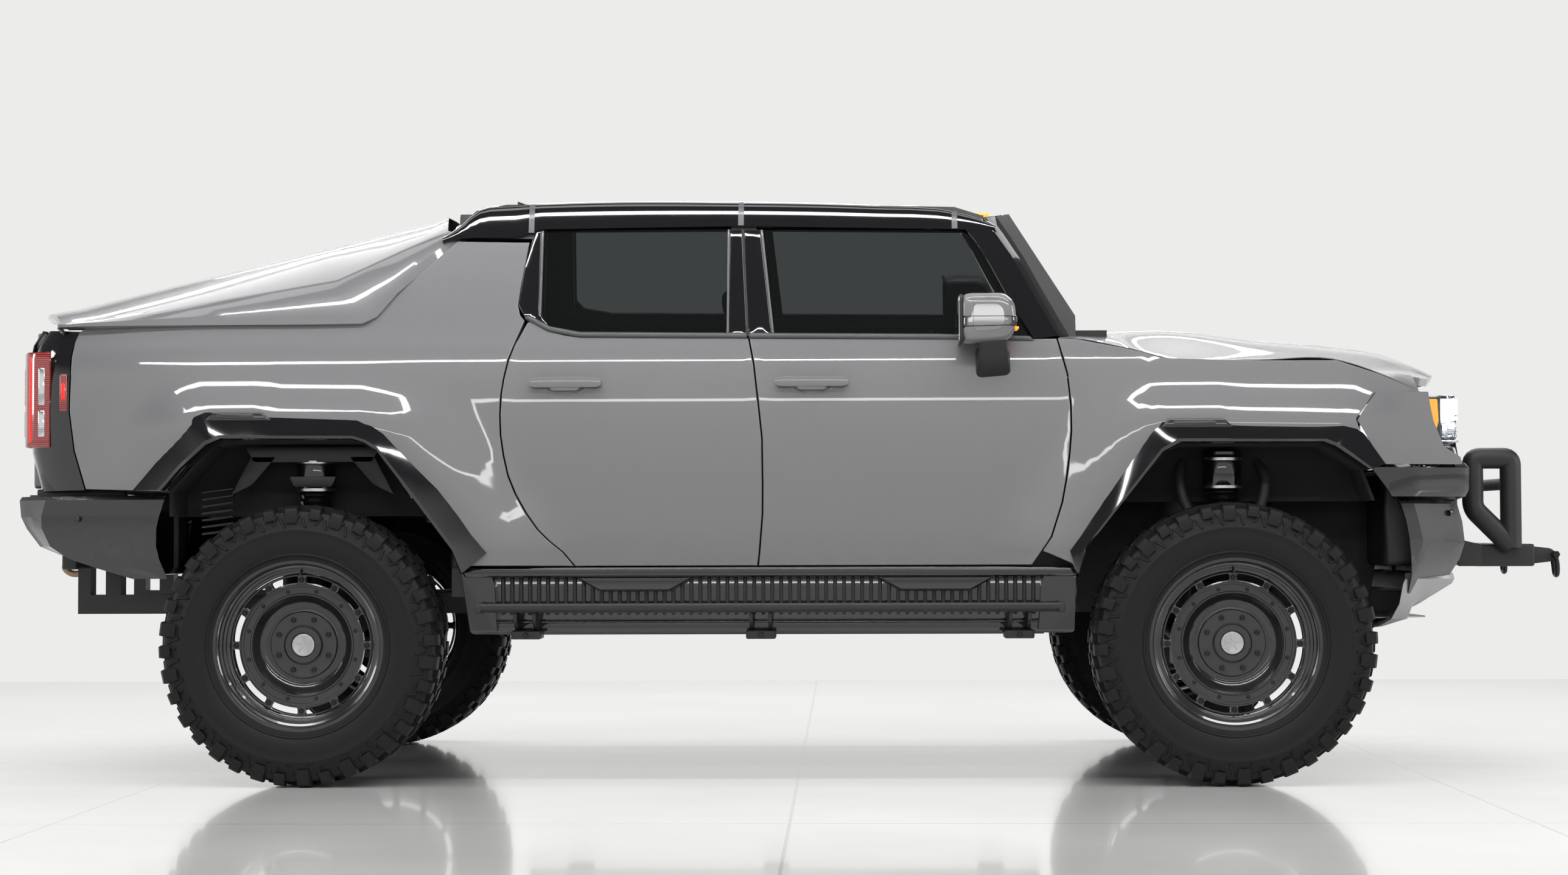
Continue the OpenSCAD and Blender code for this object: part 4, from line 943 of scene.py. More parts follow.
def between(line_a, line_b, step=0.05):
    """Two matched lines, resampled together so that their corners still match."""
    a_out, b_out = [], []
    for (a0, a1), (b0, b1) in zip(zip(line_a[:-1], line_a[1:]), zip(line_b[:-1], line_b[1:])):
        k = max(1, int(math.dist(a0, a1) / step))
        for j in range(k):
            t = j / k
            a_out.append((a0[0] + (a1[0] - a0[0]) * t, a0[1] + (a1[1] - a0[1]) * t))
            b_out.append((b0[0] + (b1[0] - b0[0]) * t, b0[1] + (b1[1] - b0[1]) * t))
    return a_out + [line_a[-1]], b_out + [line_b[-1]]


front_outer = front([(-598, 866), (-554, 921), (-300, 1320), (-268, 1350), (-36, 1352), (7, 1338),
    (424, 1327), (462, 1312), (495, 1284), (566, 1178)])
front_inner = front([(-566, 763), (-540, 872), (-255, 1225), (-186, 1262), (-30, 1262), (12, 1262),
    (330, 1262), (372, 1246), (423, 1212), (502, 1160)])
rear_outer = rear([(-637, 1097), (-536, 1216), (-405, 1375), (-368, 1390), (-158, 1390), (-128, 1371),
    (207, 1363), (262, 1348), (310, 1319), (516, 1102), (633, 928), (690, 862)])
rear_inner = rear([(-520, 1097), (-448, 1180), (-355, 1262), (-300, 1286), (-140, 1286), (-110, 1286),
    (190, 1285), (236, 1270), (281, 1241), (429, 1044), (561, 870), (596, 783)])
flares = [flare(*between(front_outer, front_inner), 1.0, "flare_front"),
    flare(*between(rear_outer, rear_inner), 1.0, "flare_rear")]
for pts, x0, x1 in ((front_outer, axle_f - 0.27, axle_f - 0.03), (rear_outer, axle_r - 0.37, axle_r - 0.15)):
    top = 1.352 if pts is front_outer else 1.391
    flares.append(smooth_plate("marker_housing", [(x0 + 0.01, top - 0.036), (x1 + 0.035, top - 0.036),
        (x1, top - 0.004), (x0 + 0.035, top - 0.004)], -(half_body + 0.018), -(half_body + 0.052), 0.006, 3))
lens_dark = worn_material("smoked_lens", (0.012, 0.008, 0.008), 0.1, coat=1.0, dust=0.02, peel=0.0)
flares = [with_material(m, gloss_black) for m in flares]
for x0, x1, top in ((axle_f - 0.215, axle_f - 0.06, 1.352), (axle_r - 0.315, axle_r - 0.18, 1.391)):
    put(flares, lens_dark, smooth_box("marker_lens", (x0, -(half_body + 0.055), top - 0.028),
        (x1, -(half_body + 0.048), top - 0.012), 0.003, 2))
place_pair("flare_set", merged("flare_set", flares), gloss_black, "chassis", "gloss_black",
    (("side_cladding",), ()))

sill_parts = []
sill_back = centre([(-1104, 560), (-1128, 700), (-1136, 800), (-1030, 804), (1126, 804), (1150, 790),
    (1156, 700), (1144, 566), (1128, 558), (-1090, 556)])
sill_parts.append(smooth_plate("sill_back", sill_back, -(half_body - 0.115), -(half_body - 0.055), 0.006, 2,
    0.02))
top_band = centre([(-1136, 806), (1150, 806), (1158, 768), (-1122, 768)])
sill_parts.append(smooth_plate("sill_top", top_band, -(half_body - 0.07), -(half_body + 0.004), 0.010, 4))
low_band = centre([(-1108, 606), (1150, 606), (1142, 560), (-1094, 560)])
sill_parts.append(smooth_plate("sill_low", low_band, -(half_body - 0.07), -(half_body - 0.022), 0.010, 3))
for pts in (centre([(-1136, 800), (-1030, 800), (-1010, 740), (-1000, 566), (-1100, 562)]),
        centre([(1150, 800), (1040, 800), (1020, 740), (1008, 566), (1142, 562)])):
    sill_parts.append(smooth_plate("sill_end", pts, -(half_body - 0.07), -(half_body - 0.004), 0.009, 3,
        0.01))
for x0, x1 in ((-0.62, -0.36), (0.50, 0.76)):
    bump = centre([(x0 * 1000 - 90, 770), (x1 * 1000 + 90, 770), (x1 * 1000, 715), (x0 * 1000, 715)])
    sill_parts.append(smooth_plate("sill_bump", bump, -(half_body - 0.07), -(half_body - 0.012), 0.008, 3))
slat = smooth_box("slat", (0, -(half_body - 0.038), 0.628), (0.014, -(half_body - 0.06), 0.768), 0.004, 2)
# Repeats the mesh along a straight line
line_tool, row_in, row_out = part_tool("row_of_parts", Start="Vector", Step="Vector")
row = add_node(line_tool, "GeometryNodeMeshLine", {"mode": "OFFSET"}, Count=row_in.outputs["Count"],
    Start_Location=row_in.outputs["Start"], Offset=row_in.outputs["Step"])
set_on_points(line_tool, row_in, row_out, row.outputs[0])
middle = (axle_f + axle_r) / 2
sill_parts = [with_material(m, gloss_black) for m in sill_parts]
sill_parts.append(run_tool(line_tool, slat, Count=60, Start=(middle - 0.99, 0, 0), Step=(0.0335, 0, 0),
    Material=satin_black))
place_pair("sill_cover", merged("sill_cover", sill_parts), gloss_black, "chassis", "gloss_black")

board_low, board_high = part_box("running_boards")
x0, x1 = board_low[0], board_high[0]
y_out, y_in = board_low[1], -(half_body + 0.012)
board = [smooth_plate("board", [(y_in, 0.640), (y_out + 0.022, 0.640), (y_out + 0.002, 0.652),
    (y_out + 0.002, 0.668), (y_out + 0.008, 0.675), (y_out + 0.03, 0.672), (y_out + 0.04, 0.662),
    (y_in, 0.664)], x0, x1, 0.003, 2, axis="x")]
for x in (x0 + 0.01, x1 - 0.01):
    board.append(smooth_box("end_cap", (x - 0.012, y_out + 0.001, 0.637), (x + 0.012, y_in, 0.676), 0.006, 3))
for xc in (-0.888, -0.018, 0.936):
    for dx in (-0.042, 0.028):
        xb = middle + xc + dx
        board.append(smooth_plate("arm", [(y_out + 0.03, 0.640), (y_out + 0.03, 0.612), (y_in + 0.02, 0.560),
            (y_in + 0.20, 0.545), (y_in + 0.20, 0.600), (y_in + 0.03, 0.640)], xb, xb + 0.014, 0.003, 2,
            axis="x"))
    board.append(smooth_box("foot", (middle + xc - 0.055, y_in - 0.03, 0.540),
        (middle + xc + 0.055, y_in + 0.09, 0.572), 0.006, 2))
    put(board, bolt_mat, moved_mesh(hex_bolt("bracket_bolt", 0.009, 0.008, 6, 0.014),
        (middle + xc, y_in - 0.03, 0.556)))
board = [m if m.materials else with_material(m, powder_black) for m in board]
tread = smooth_box("tread", (0, y_out + 0.048, 0.660), (0.007, y_in - 0.012, 0.667), 0.002, 2)
board.append(run_tool(line_tool, tread, Count=96, Start=(x0 + 0.05, 0, 0), Step=(0.0217, 0, 0),
    Material=satin_black))
place_pair("running_board", merged("running_board", board), powder_black, "chassis", "black_metal",
    (("running_boards",), ()))

# ---- Wheel housings and suspension ----
# Pressed-felt and plastic liners close the arches. Wishbones are forged, the air springs are rubber
# bellows over painted cans with bright clamp bands, and links carry rubber bushes.
felt = worn_material("liner_felt", (0.010, 0.010, 0.0105), 0.85, dust=0.2, variation=0.2, peel=0.6,
    peel_scale=350.0)
cast_mat = worn_material("cast_arms", (0.045, 0.045, 0.047), 0.55, metallic=0.4, dust=0.3, variation=0.3,
    peel=0.4, peel_scale=260.0)
bright_mat = worn_material("bright_clamp", (0.55, 0.55, 0.56), 0.28, metallic=1.0, dust=0.05, variation=0.2,
    peel=0.05)
for axle, end in ((axle_f, "front"), (axle_r, "rear")):
    y0 = -0.80
    spring = [(0.001, 0.0), (0.060, 0.0), (0.066, 0.012), (0.060, 0.024), (0.066, 0.036), (0.060, 0.048),
        (0.066, 0.060), (0.060, 0.072), (0.070, 0.078), (0.074, 0.085), (0.074, 0.190), (0.070, 0.198),
        (0.074, 0.202), (0.074, 0.212), (0.060, 0.222), (0.001, 0.222)]
    can = moved_mesh(spin_mesh("air_spring", spring, 48), (axle, y0, 1.02),
        Matrix.Rotation(math.pi / 2, 3, "X"))
    parts = [with_material(can, gloss_black)]
    for z in (1.10, 1.205):
        band = spin_mesh("band", [(0.0745, -0.006), (0.0765, -0.005), (0.0765, 0.005), (0.0745, 0.006)], 48)
        put(parts, bright_mat, moved_mesh(band, (axle, y0, z), Matrix.Rotation(math.pi / 2, 3, "X")))
    if end == "front":
        for s in (-1, 1):
            arm = pipe("upper_arm", [(axle + s * 0.09, y0 - 0.05, 0.93), (axle + s * 0.155, y0 - 0.03, 1.06),
                (axle + s * 0.165, y0, 1.15), (axle + s * 0.12, y0 + 0.1, 1.23)], 0.019, 16, 0.06)
            put(parts, cast_mat, arm)
    else:
        brace = [[(-0.255, 1.262), (0.255, 1.262), (0.225, 1.205), (-0.225, 1.205)],
            [(-0.235, 1.225), (-0.14, 1.225), (-0.23, 1.12), (-0.31, 1.08)],
            [(0.235, 1.225), (0.14, 1.225), (0.23, 1.12), (0.31, 1.08)],
            [(-0.09, 1.15), (0.09, 1.15), (0.07, 1.11), (-0.07, 1.11)]]
        for shape in brace:
            put(parts, satin_black, smooth_plate("brace", [(axle + x, z) for x, z in shape], -0.855, -0.875,
                0.006, 2, 0.01))
        for k in range(7):
            put(parts, satin_black, smooth_plate("louvre", [(axle - 0.42, 0.93 + k * 0.026),
                (axle - 0.30, 0.945 + k * 0.026), (axle - 0.30, 0.953 + k * 0.026),
                (axle - 0.42, 0.938 + k * 0.026)], -0.86, -0.885, 0.002, 1))
    place_pair("spring_" + end, merged("spring_" + end, parts), gloss_black, "chassis", "black_metal")


# Splash panels shut the view past the front wheels to the other side.
def splash(x, z):
    return np.stack([x, -0.50 - 0.012 * smooth_step(1 - np.abs((x - axle_f) % 0.16 - 0.08) / 0.03), z], -1)


panel = [(axle_f - 0.62, 0.62), (axle_f + 0.60, 0.62), (axle_f + 0.66, 0.95), (axle_f + 0.60, 1.16),
    (axle_f - 0.50, 1.16), (axle_f - 0.62, 0.95)]
place_pair("splash_panel", pressed_panel("splash_panel", panel, splash, 0.03, 0.004, 0.012, 0.03), felt,
    "chassis", "satin_black")


def dress(node, material):
    """Gives a carried-over CAD solid its own surface."""
    mesh = bpy.data.objects[node].data
    mesh.materials.clear()
    mesh.materials.append(material)


for node, mat in (("wheel_liners", felt), ("suspension", cast_mat), ("rear_knuckles", cast_mat),
        ("knuckle_front_right", cast_mat), ("knuckle_front_left", cast_mat), ("subframes", powder_black),
        ("drive_units", cast_mat), ("battery_pack", satin_black), ("bed_tub", satin_black),
        ("front_trunk", satin_black), ("cab_shell", satin_black)):
    dress(node, mat)

# ---- Hood and cowl ----
# The hood is a wide pressing over the front trunk, with a raised centre and a crease to each side
# where its skirt turns down to the wings. Behind it lies a black cowl with louvres and wipers.
hood_side = np.array([(-0.425, 1.676), (-0.325, 1.603), (-0.242, 1.583), (0.110, 1.573), (0.403, 1.556),
    (0.560, 1.520), (0.735, 1.452)]).T
hood_mid = np.array([(-0.425, 1.706), (-0.30, 1.712), (-0.19, 1.714), (0.17, 1.674), (0.475, 1.647),
    (0.673, 1.617), (0.80, 1.575), (0.90, 1.522), (0.985, 1.474)]).T


def hood_top(x, y):
    """Height of the hood over a place in plan; x is measured from the front axle."""
    reach = np.clip((np.abs(y) - 0.50) / 0.40, 0, 1.2)
    edge_at = x - 0.22 * smooth_step((x - 0.45) / 0.5) * reach
    low = curve(np.clip(edge_at, -0.425, 0.735), *hood_side)
    high = curve(np.clip(x, -0.425, 0.985), *hood_mid)
    mix = np.clip((np.abs(y) - 0.40) / 0.50, 0, 1)
    mix = mix * mix * (2.2 - 1.2 * mix)
    bulge = 0.012 * smooth_step((0.44 - np.abs(y)) / 0.06) * smooth_step((0.93 - x) / 0.25)
    return high * (1 - mix) + low * mix + bulge


def hood_surface(x, y):
    return np.stack([axle_f + x, y, hood_top(x, y)], -1)


hood_line = [(-0.425, -0.60), (-0.417, -0.84), (-0.385, -0.893), (-0.325, -0.903), (0.12, -0.903),
    (0.403, -0.900), (0.56, -0.893), (0.705, -0.872), (0.74, -0.845), (0.80, -0.72), (0.865, -0.50),
    (0.885, -0.25)]
hood_line = hood_line + [(x, -y) for x, y in hood_line[::-1]]
skin = pressed_panel("hood_skin", hood_line, hood_surface, 0.045, 0.005, 0.03, 0.02)
place("hood_skin", skin, paint, "hood", "body_paint", ("hood",))
inner = pressed_panel("hood_inner", inset_outline(hood_line[::-1] if area_of(hood_line) < 0 else hood_line,
    0.03).tolist(), lambda x, y: hood_surface(x, y) - np.array([0, 0, 0.030]), 0.06, 0.004, 0.012)
ribs = [smooth_box("rib", (axle_f - 0.28, y - 0.02, 1.56), (axle_f + 0.55, y + 0.02, 1.59), 0.008,
    2) for y in (-0.45, 0.0, 0.45)]
inner = merged("hood_inner", [with_material(m, satin_black) for m in [inner] + ribs])
place("hood_lining", inner, satin_black, "hood", "satin_black")

# Top of the wing, from the side pressing in to the hood's edge, where it turns down into the gap.
wing_edge = np.array([(-0.632, 1.654), (-0.56, 1.650), (-0.40, 1.618), (-0.33, 1.602), (-0.25, 1.578),
    (0.10, 1.566), (0.394, 1.566), (0.56, 1.512), (0.64, 1.478), (0.700, 1.450)]).T
gap_edge = np.array([(-0.632, 0.866), (-0.435, 0.868), (-0.395, 0.903), (-0.325, 0.912), (0.12, 0.912),
    (0.403, 0.909), (0.56, 0.902), (0.66, 0.890), (0.700, 0.884)]).T
rows = []
for x in np.linspace(-0.628, 0.698, 30):
    z0, y1 = float(curve(x, *wing_edge)), float(curve(x, *gap_edge))
    y0 = float(side_half(axle_f + x, z0)) - 0.003
    z1 = max(z0, float(hood_top(np.array(max(x, -0.41)), np.array(y1)))) + 0.002
    row = [(axle_f + x, -(y0 + (y1 - y0) * t),
        z0 + (z1 - z0) * t + 0.012 * t * (1 - t)) for t in np.linspace(0, 1, 7)]
    rows.append(row + [(axle_f + x, -y1 + 0.003, z1 - 0.006), (axle_f + x, -y1 + 0.004, z1 - 0.055)])
top = loft("wing_top", rows, 0.003, angle=40)
if sum(p.normal.z * p.area for p in top.polygons if p.center.z > 1.55) < 0:
    top = loft("wing_top", rows, 0.003, flip=True, angle=40)
place_pair("wing_top", top, paint, "chassis", "body_paint")

cowl_rows = [[(axle_f + x, y, z) for y in np.linspace(-0.86, 0.86, 13)] for x, z in ((-0.60, 1.688),
    (-0.52, 1.690), (-0.47, 1.680), (-0.44, 1.664), (-0.42, 1.640))]
cowl = [with_material(loft("cowl", cowl_rows, 0.004, flip=True), satin_black)]
vent = smooth_box("vent", (axle_f - 0.545, -0.72, 1.689), (axle_f - 0.478, -0.712, 1.693), 0.001, 1)
cowl.append(run_tool(line_tool, vent, Count=60, Start=(0, 0, 0), Step=(0, 0.0243, 0), Material=gloss_black))
for y0, y1, x1, z1 in ((0.62, 0.02, -0.66, 1.80), (-0.10, -0.66, -0.655, 1.79)):
    arm = pipe("wiper_arm", [(axle_f - 0.50, y0, 1.695), (axle_f - 0.56, y0 - 0.04, 1.735),
        (axle_f + x1 + 0.06, (y0 + y1) / 2, 1.752)], 0.0065, 10, 0.03)
    blade = pipe("wiper_blade", [(axle_f - 0.60, y0 - 0.02, 1.738), (axle_f - 0.605, (y0 + y1) / 2, 1.748),
        (axle_f - 0.60, y1, 1.738)], 0.0055, 8)
    pivot = moved_mesh(spin_mesh("pivot", [(0.001, 0), (0.016, 0), (0.014, 0.03), (0.001, 0.032)], 20),
        (axle_f - 0.50, y0, 1.675), Matrix.Rotation(math.pi / 2, 3, "X"))
    cowl += [with_material(m, satin_black) for m in (arm, blade, pivot)]
place("cowl_and_wipers", merged("cowl", cowl), satin_black, "chassis", "satin_black")

# ---- Nose and headlamps ----
# The nose is a gloss-black panel between the lamps, with a lit bar across it and six slotted blocks.
# Each lamp is a clear polycarbonate cover over a white light guide, an amber marker and chrome.
lens_mat, tree, shader = new_material("lamp_cover")
where = add_node(tree, "ShaderNodeTexCoord")
film = add_node(tree, "ShaderNodeTexNoise", None, Vector=where.outputs["Object"], Scale=30.0, Detail=3.0)
dull = add_node(tree, "ShaderNodeMapRange", None, Value=film.outputs["Fac"], To_Min=0.01, To_Max=0.06)
tree.links.new(dull.outputs[0], shader.inputs["Roughness"])
shader.inputs["Base Color"].default_value = (0.95, 0.97, 1.0, 1)
shader.inputs["Transmission Weight"].default_value = 1.0
shader.inputs["IOR"].default_value = 1.35


def lit_material(name, color, strength, base, scale=90.0):
    """A light guide: bright bands of its own colour, dimmer between its prisms."""
    mat, tree, shader = new_material(name)
    where = add_node(tree, "ShaderNodeTexCoord")
    prisms = add_node(tree, "ShaderNodeTexWave", {"bands_direction": "X"}, Vector=where.outputs["Object"],
        Scale=scale)
    glow = add_node(tree, "ShaderNodeMix", {"data_type": "RGBA"}, Factor=prisms.outputs["Fac"],
        A=(color[0] * 0.55, color[1] * 0.55, color[2] * 0.6, 1), B=(*color, 1))
    tree.links.new(glow.outputs[2], shader.inputs["Emission Color"])
    shader.inputs["Emission Strength"].default_value = strength
    shader.inputs["Base Color"].default_value = (*base, 1)
    shader.inputs["Roughness"].default_value = 0.2
    return mat


led_white = lit_material("led_white", (0.92, 0.96, 1.0), 3.2, (0.8, 0.8, 0.8))
led_amber = lit_material("led_amber", (1.0, 0.33, 0.02), 1.4, (0.7, 0.25, 0.02))
led_red = lit_material("led_red", (1.0, 0.02, 0.012), 1.6, (0.5, 0.01, 0.01), 60.0)
chrome = worn_material("chrome_bezel", (0.72, 0.73, 0.75), 0.08, metallic=1.0, dust=0.0, variation=0.05,
    peel=0.0)



def lamp_x(y):
    """Front edge of the lamp covers, sweeping back to each side."""
    return axle_f + 0.905 - 0.05 * np.clip((np.abs(y) - 0.60) / 0.33, 0, 1) ** 2


lamp_parts = []
cover_rows = []
for z, back in ((1.438, 0.0), (1.425, 0.004), (1.36, 0.007), (1.30, 0.004), (1.262, -0.004), (1.251, -0.022)):
    row = []
    for y in np.linspace(-0.640, -0.900, 9):
        row.append((lamp_x(y) - 0.008 + back, y, z))
    for t in np.linspace(0, math.pi / 2, 6)[1:]:
        row.append((lamp_x(-0.90) - 0.008 + back - 0.035 * math.sin(t),
            -0.90 - 0.035 * (1 - math.cos(t)) - 0.0, z))
    row += [(lamp_x(-0.90) - 0.08 + back, -0.938, z), (axle_f + 0.745 + 0.03 * (1.438 - z) / 0.19, -0.943, z)]
    cover_rows.append(row)
put(lamp_parts, lens_mat, loft("lamp_cover", cover_rows, 0.003, angle=50))
for z0, z1, back in ((1.365, 1.425, 0.03), (1.345, 1.358, 0.022)):
    put(lamp_parts, led_white, smooth_box("light_guide", (axle_f + 0.80, -0.925, z0),
        (axle_f + 0.872 - back * 0.3, -0.66, z1), 0.006, 2))
put(lamp_parts, led_amber, smooth_plate("amber_guide", front([(752, 1424), (786, 1424), (790, 1340),
    (778, 1300), (764, 1350)]), -0.936, -0.90, 0.004, 2))
for k in range(3):
    y = -0.70 - k * 0.075
    bowl = spin_mesh("bowl", [(0.006, 0.0), (0.018, -0.006), (0.028, -0.02), (0.031, -0.034), (0.033, -0.034),
        (0.030, 0.004), (0.006, 0.004)], 24)
    put(lamp_parts, chrome, moved_mesh(bowl, (axle_f + 0.835, y, 1.308), turn_left))
put(lamp_parts, gloss_black, smooth_box("bezel_back", (axle_f + 0.752, -0.93, 1.256),
    (axle_f + 0.80, -0.65, 1.434), 0.006, 2))
put(lamp_parts, chrome, smooth_box("chrome_shelf", (axle_f + 0.79, -0.925, 1.262),
    (axle_f + 0.868, -0.655, 1.27), 0.003, 2))
place_pair("headlamp", merged("headlamp", lamp_parts), lens_mat, "chassis", "lamp_clear",
    (("headlamps",), ()))

nose_parts = []
panel_rows = [[(axle_f + x, y, z) for y in np.linspace(-0.64, 0.64, 9)] for x, z in ((0.86, 1.452),
    (0.905, 1.447), (0.912, 1.43), (0.912, 1.39), (0.895, 1.38), (0.895, 1.30), (0.915, 1.288), (0.93, 1.20),
    (0.93, 1.17))]
put(nose_parts, gloss_black, loft("nose_panel", panel_rows, 0.004, flip=True))
put(nose_parts, led_white, smooth_box("light_bar", (axle_f + 0.905, -0.62, 1.398),
    (axle_f + 0.918, 0.62, 1.422), 0.005, 2))
block = merged("slot_block", [with_material(m, gloss_black) for m in (smooth_box("a",
    (axle_f + 0.89, -0.575, 1.308), (axle_f + 0.912, -0.425, 1.372), 0.008,
    3),)] + [with_material(smooth_box("b", (axle_f + 0.911, -0.56, 1.322 + k * 0.02),
    (axle_f + 0.914, -0.44, 1.328 + k * 0.02), 0.001, 1), chrome) for k in range(2)])
for k in range(6):
    nose_parts.append(moved_mesh(block, (0, k * 0.2, 0)))
# Painted cheek between the wing, the lamp and the bumper.
rows = []
for z in (1.447, 1.40, 1.34, 1.28, 1.245, 1.205, 1.178):
    x_start = np.interp(z, [1.178, 1.346, 1.442, 1.45], [axle_f + 0.556, axle_f + 0.459, axle_f + 0.535,
        axle_f + 0.54])
    x_end = np.interp(z, [1.178, 1.205, 1.245, 1.35, 1.447], [axle_f + 0.862, axle_f + 0.855, axle_f + 0.79,
        axle_f + 0.748, axle_f + 0.735])
    rows.append([(x, -float(side_half(x, z)) + 0.002 if x < axle_f + 0.70 else -float(side_half(axle_f + 0.70,
        z)) + 0.002 + 0.30 * (x - axle_f - 0.70) ** 1.0, z) for x in np.linspace(x_start, x_end, 10)])
cheek = loft("cheek", rows, 0.004, angle=60)
place_pair("nose_cheek", cheek, paint, "chassis", "body_paint")
rows = []
for x, z in ((0.87, 1.251), (0.895, 1.240), (0.905, 1.205), (0.905, 1.175)):
    rows.append([(axle_f + x - 0.06 * ((abs(y) - 0.6) / 0.35) ** 2 * (abs(y) > 0.6), y,
        z) for y in np.linspace(-0.95, -0.60, 8)])
place_pair("lamp_sill", loft("lamp_sill", rows, 0.004, angle=60), paint, "chassis", "body_paint")
place("nose_panel", merged("nose_panel", nose_parts), gloss_black, "chassis", "gloss_black")

# ---- Front bumper ----
# A gloss-black upper shelf sits on a dark faceted lower moulding, with a bare aluminium skid
# plate curling under. Round sensors and a wide lower mouth with bars break up its face.
lower_grey = worn_material("bumper_grey_plastic", (0.012, 0.012, 0.013), 0.28, coat=0.7, dust=0.05,
    variation=0.15, peel=0.12, peel_scale=900.0)
skid_mat = worn_material("skid_aluminium", (0.42, 0.42, 0.43), 0.38, metallic=0.9, dust=0.1, variation=0.3,
    peel=0.1, peel_scale=300.0)


def bumper_rows(levels, count=6):
    """Rows round the nose: each level is its height, arch edge, side width, corner and middle reach."""
    rows = []
    for z, x0, y0, x1, y1, x2, x3 in levels:
        half = [(x0, y0), (x1, y0 - 0.012), (x2 - 0.02, y1 + 0.02), (x2, y1), (x3, 0.30)]
        pts = []
        for (xa, ya), (xb, yb) in zip(half[:-1], half[1:]):
            pts += [(xa + (xb - xa) * t, ya + (yb - ya) * t) for t in np.linspace(0, 1, count,
                endpoint=False)]
        pts.append(half[-1])
        row = [(axle_f + x, -y, z) for x, y in pts]
        rows.append(row + [(a, -b, c) for a, b, c in row[::-1]])
    return rows


shelf = bumper_rows([(1.196, 0.545, 0.985, 0.64, 0.84, 0.86, 0.86), (1.182, 0.520, 1.040, 0.66, 0.88, 0.895,
    0.90), (1.165, 0.512, 1.062, 0.67, 0.90, 0.905, 0.925), (1.085, 0.572, 1.064, 0.67, 0.90, 0.903, 0.928),
    (1.062, 0.588, 1.056, 0.66, 0.89, 0.893, 0.922), (1.052, 0.60, 1.02, 0.64, 0.86, 0.87, 0.90)])
core = bumper_rows([(1.125, 0.56, 1.015, 0.64, 0.86, 0.86, 0.89), (1.04, 0.615, 1.02, 0.64, 0.86, 0.85,
    0.885), (0.98, 0.64, 1.025, 0.66, 0.86, 0.855, 0.885)])
lower = bumper_rows([(1.055, 0.612, 1.000, 0.66, 0.85, 0.86, 0.88), (1.030, 0.620, 1.058, 0.67, 0.86, 0.868,
    0.885), (0.965, 0.638, 1.068, 0.685, 0.87, 0.884, 0.892), (0.900, 0.650, 1.064, 0.70, 0.875, 0.890,
    0.895), (0.885, 0.652, 1.058, 0.70, 0.872, 0.891, 0.894), (0.826, 0.662, 1.030, 0.69, 0.85, 0.876, 0.884),
    (0.768, 0.671, 0.985, 0.68, 0.82, 0.846, 0.868), (0.70, 0.668, 0.93, 0.68, 0.78, 0.76, 0.82)])
skid = bumper_rows([(0.772, 0.66, 0.93, 0.70, 0.80, 0.862, 0.885), (0.752, 0.655, 0.95, 0.71, 0.80, 0.868,
    0.90), (0.735, 0.648, 0.945, 0.70, 0.78, 0.862, 0.89), (0.66, 0.640, 0.91, 0.69, 0.72, 0.755, 0.78),
    (0.605, 0.620, 0.86, 0.68, 0.66, 0.66, 0.665), (0.575, 0.585, 0.80, 0.60, 0.60, 0.59, 0.59),
    (0.566, 0.545, 0.76, 0.55, 0.56, 0.53, 0.53)])
bumper_parts = [with_material(loft("shelf", shelf, 0.004, angle=34), gloss_black),
    with_material(loft("core", core, 0.004, angle=34), satin_black), with_material(loft("lower", lower, 0.004,
    angle=16), lower_grey), with_material(loft("skid", skid, 0.004, angle=20), skid_mat)]
mouth_bar = smooth_box("mouth_bar", (axle_f + 0.885, -0.50, 0.905), (axle_f + 0.912, 0.50, 0.925), 0.006, 2)
for k in range(4):
    put(bumper_parts, satin_black, moved_mesh(mouth_bar, (0, 0, k * 0.05)))
for y, x in ((-0.92, 0.83), (-0.62, 0.897), (0.62, 0.897), (0.92, 0.83)):
    dot = moved_mesh(spin_mesh("sensor", [(0.0005, 0), (0.012, 0), (0.013, 0.003), (0.010, 0.008),
        (0.0005, 0.0085)], 20), (axle_f + x, y, 1.0), turn_right)
    put(bumper_parts, gloss_black, dot)
for y in (-0.33, 0.33):
    hook = pipe("tow_hook", [(axle_f + 0.86, y, 0.83), (axle_f + 0.95, y, 0.83), (axle_f + 0.975, y, 0.80),
        (axle_f + 0.94, y, 0.775), (axle_f + 0.86, y, 0.775)], 0.013, 12, 0.03)
    put(bumper_parts, cast_mat, hook)
tray = smooth_plate("belly_tray", [(axle_f + 0.50, -0.72), (axle_f + 0.62, -0.72), (axle_f + 0.80, -0.62),
    (axle_f + 0.80, 0.62), (axle_f + 0.62, 0.72), (axle_f + 0.50, 0.72)], 0.60, 0.606, 0.002, 1, 0, "z")
put(bumper_parts, skid_mat, tray)
backing = smooth_box("absorber", (axle_f + 0.60, -0.84, 0.80), (axle_f + 0.84, 0.84, 1.16), 0.02, 2)
put(bumper_parts, satin_black, backing)
place("front_bumper_detail", merged("front_bumper_detail", bumper_parts), lower_grey, "chassis",
    "satin_black", ("front_bumper",))

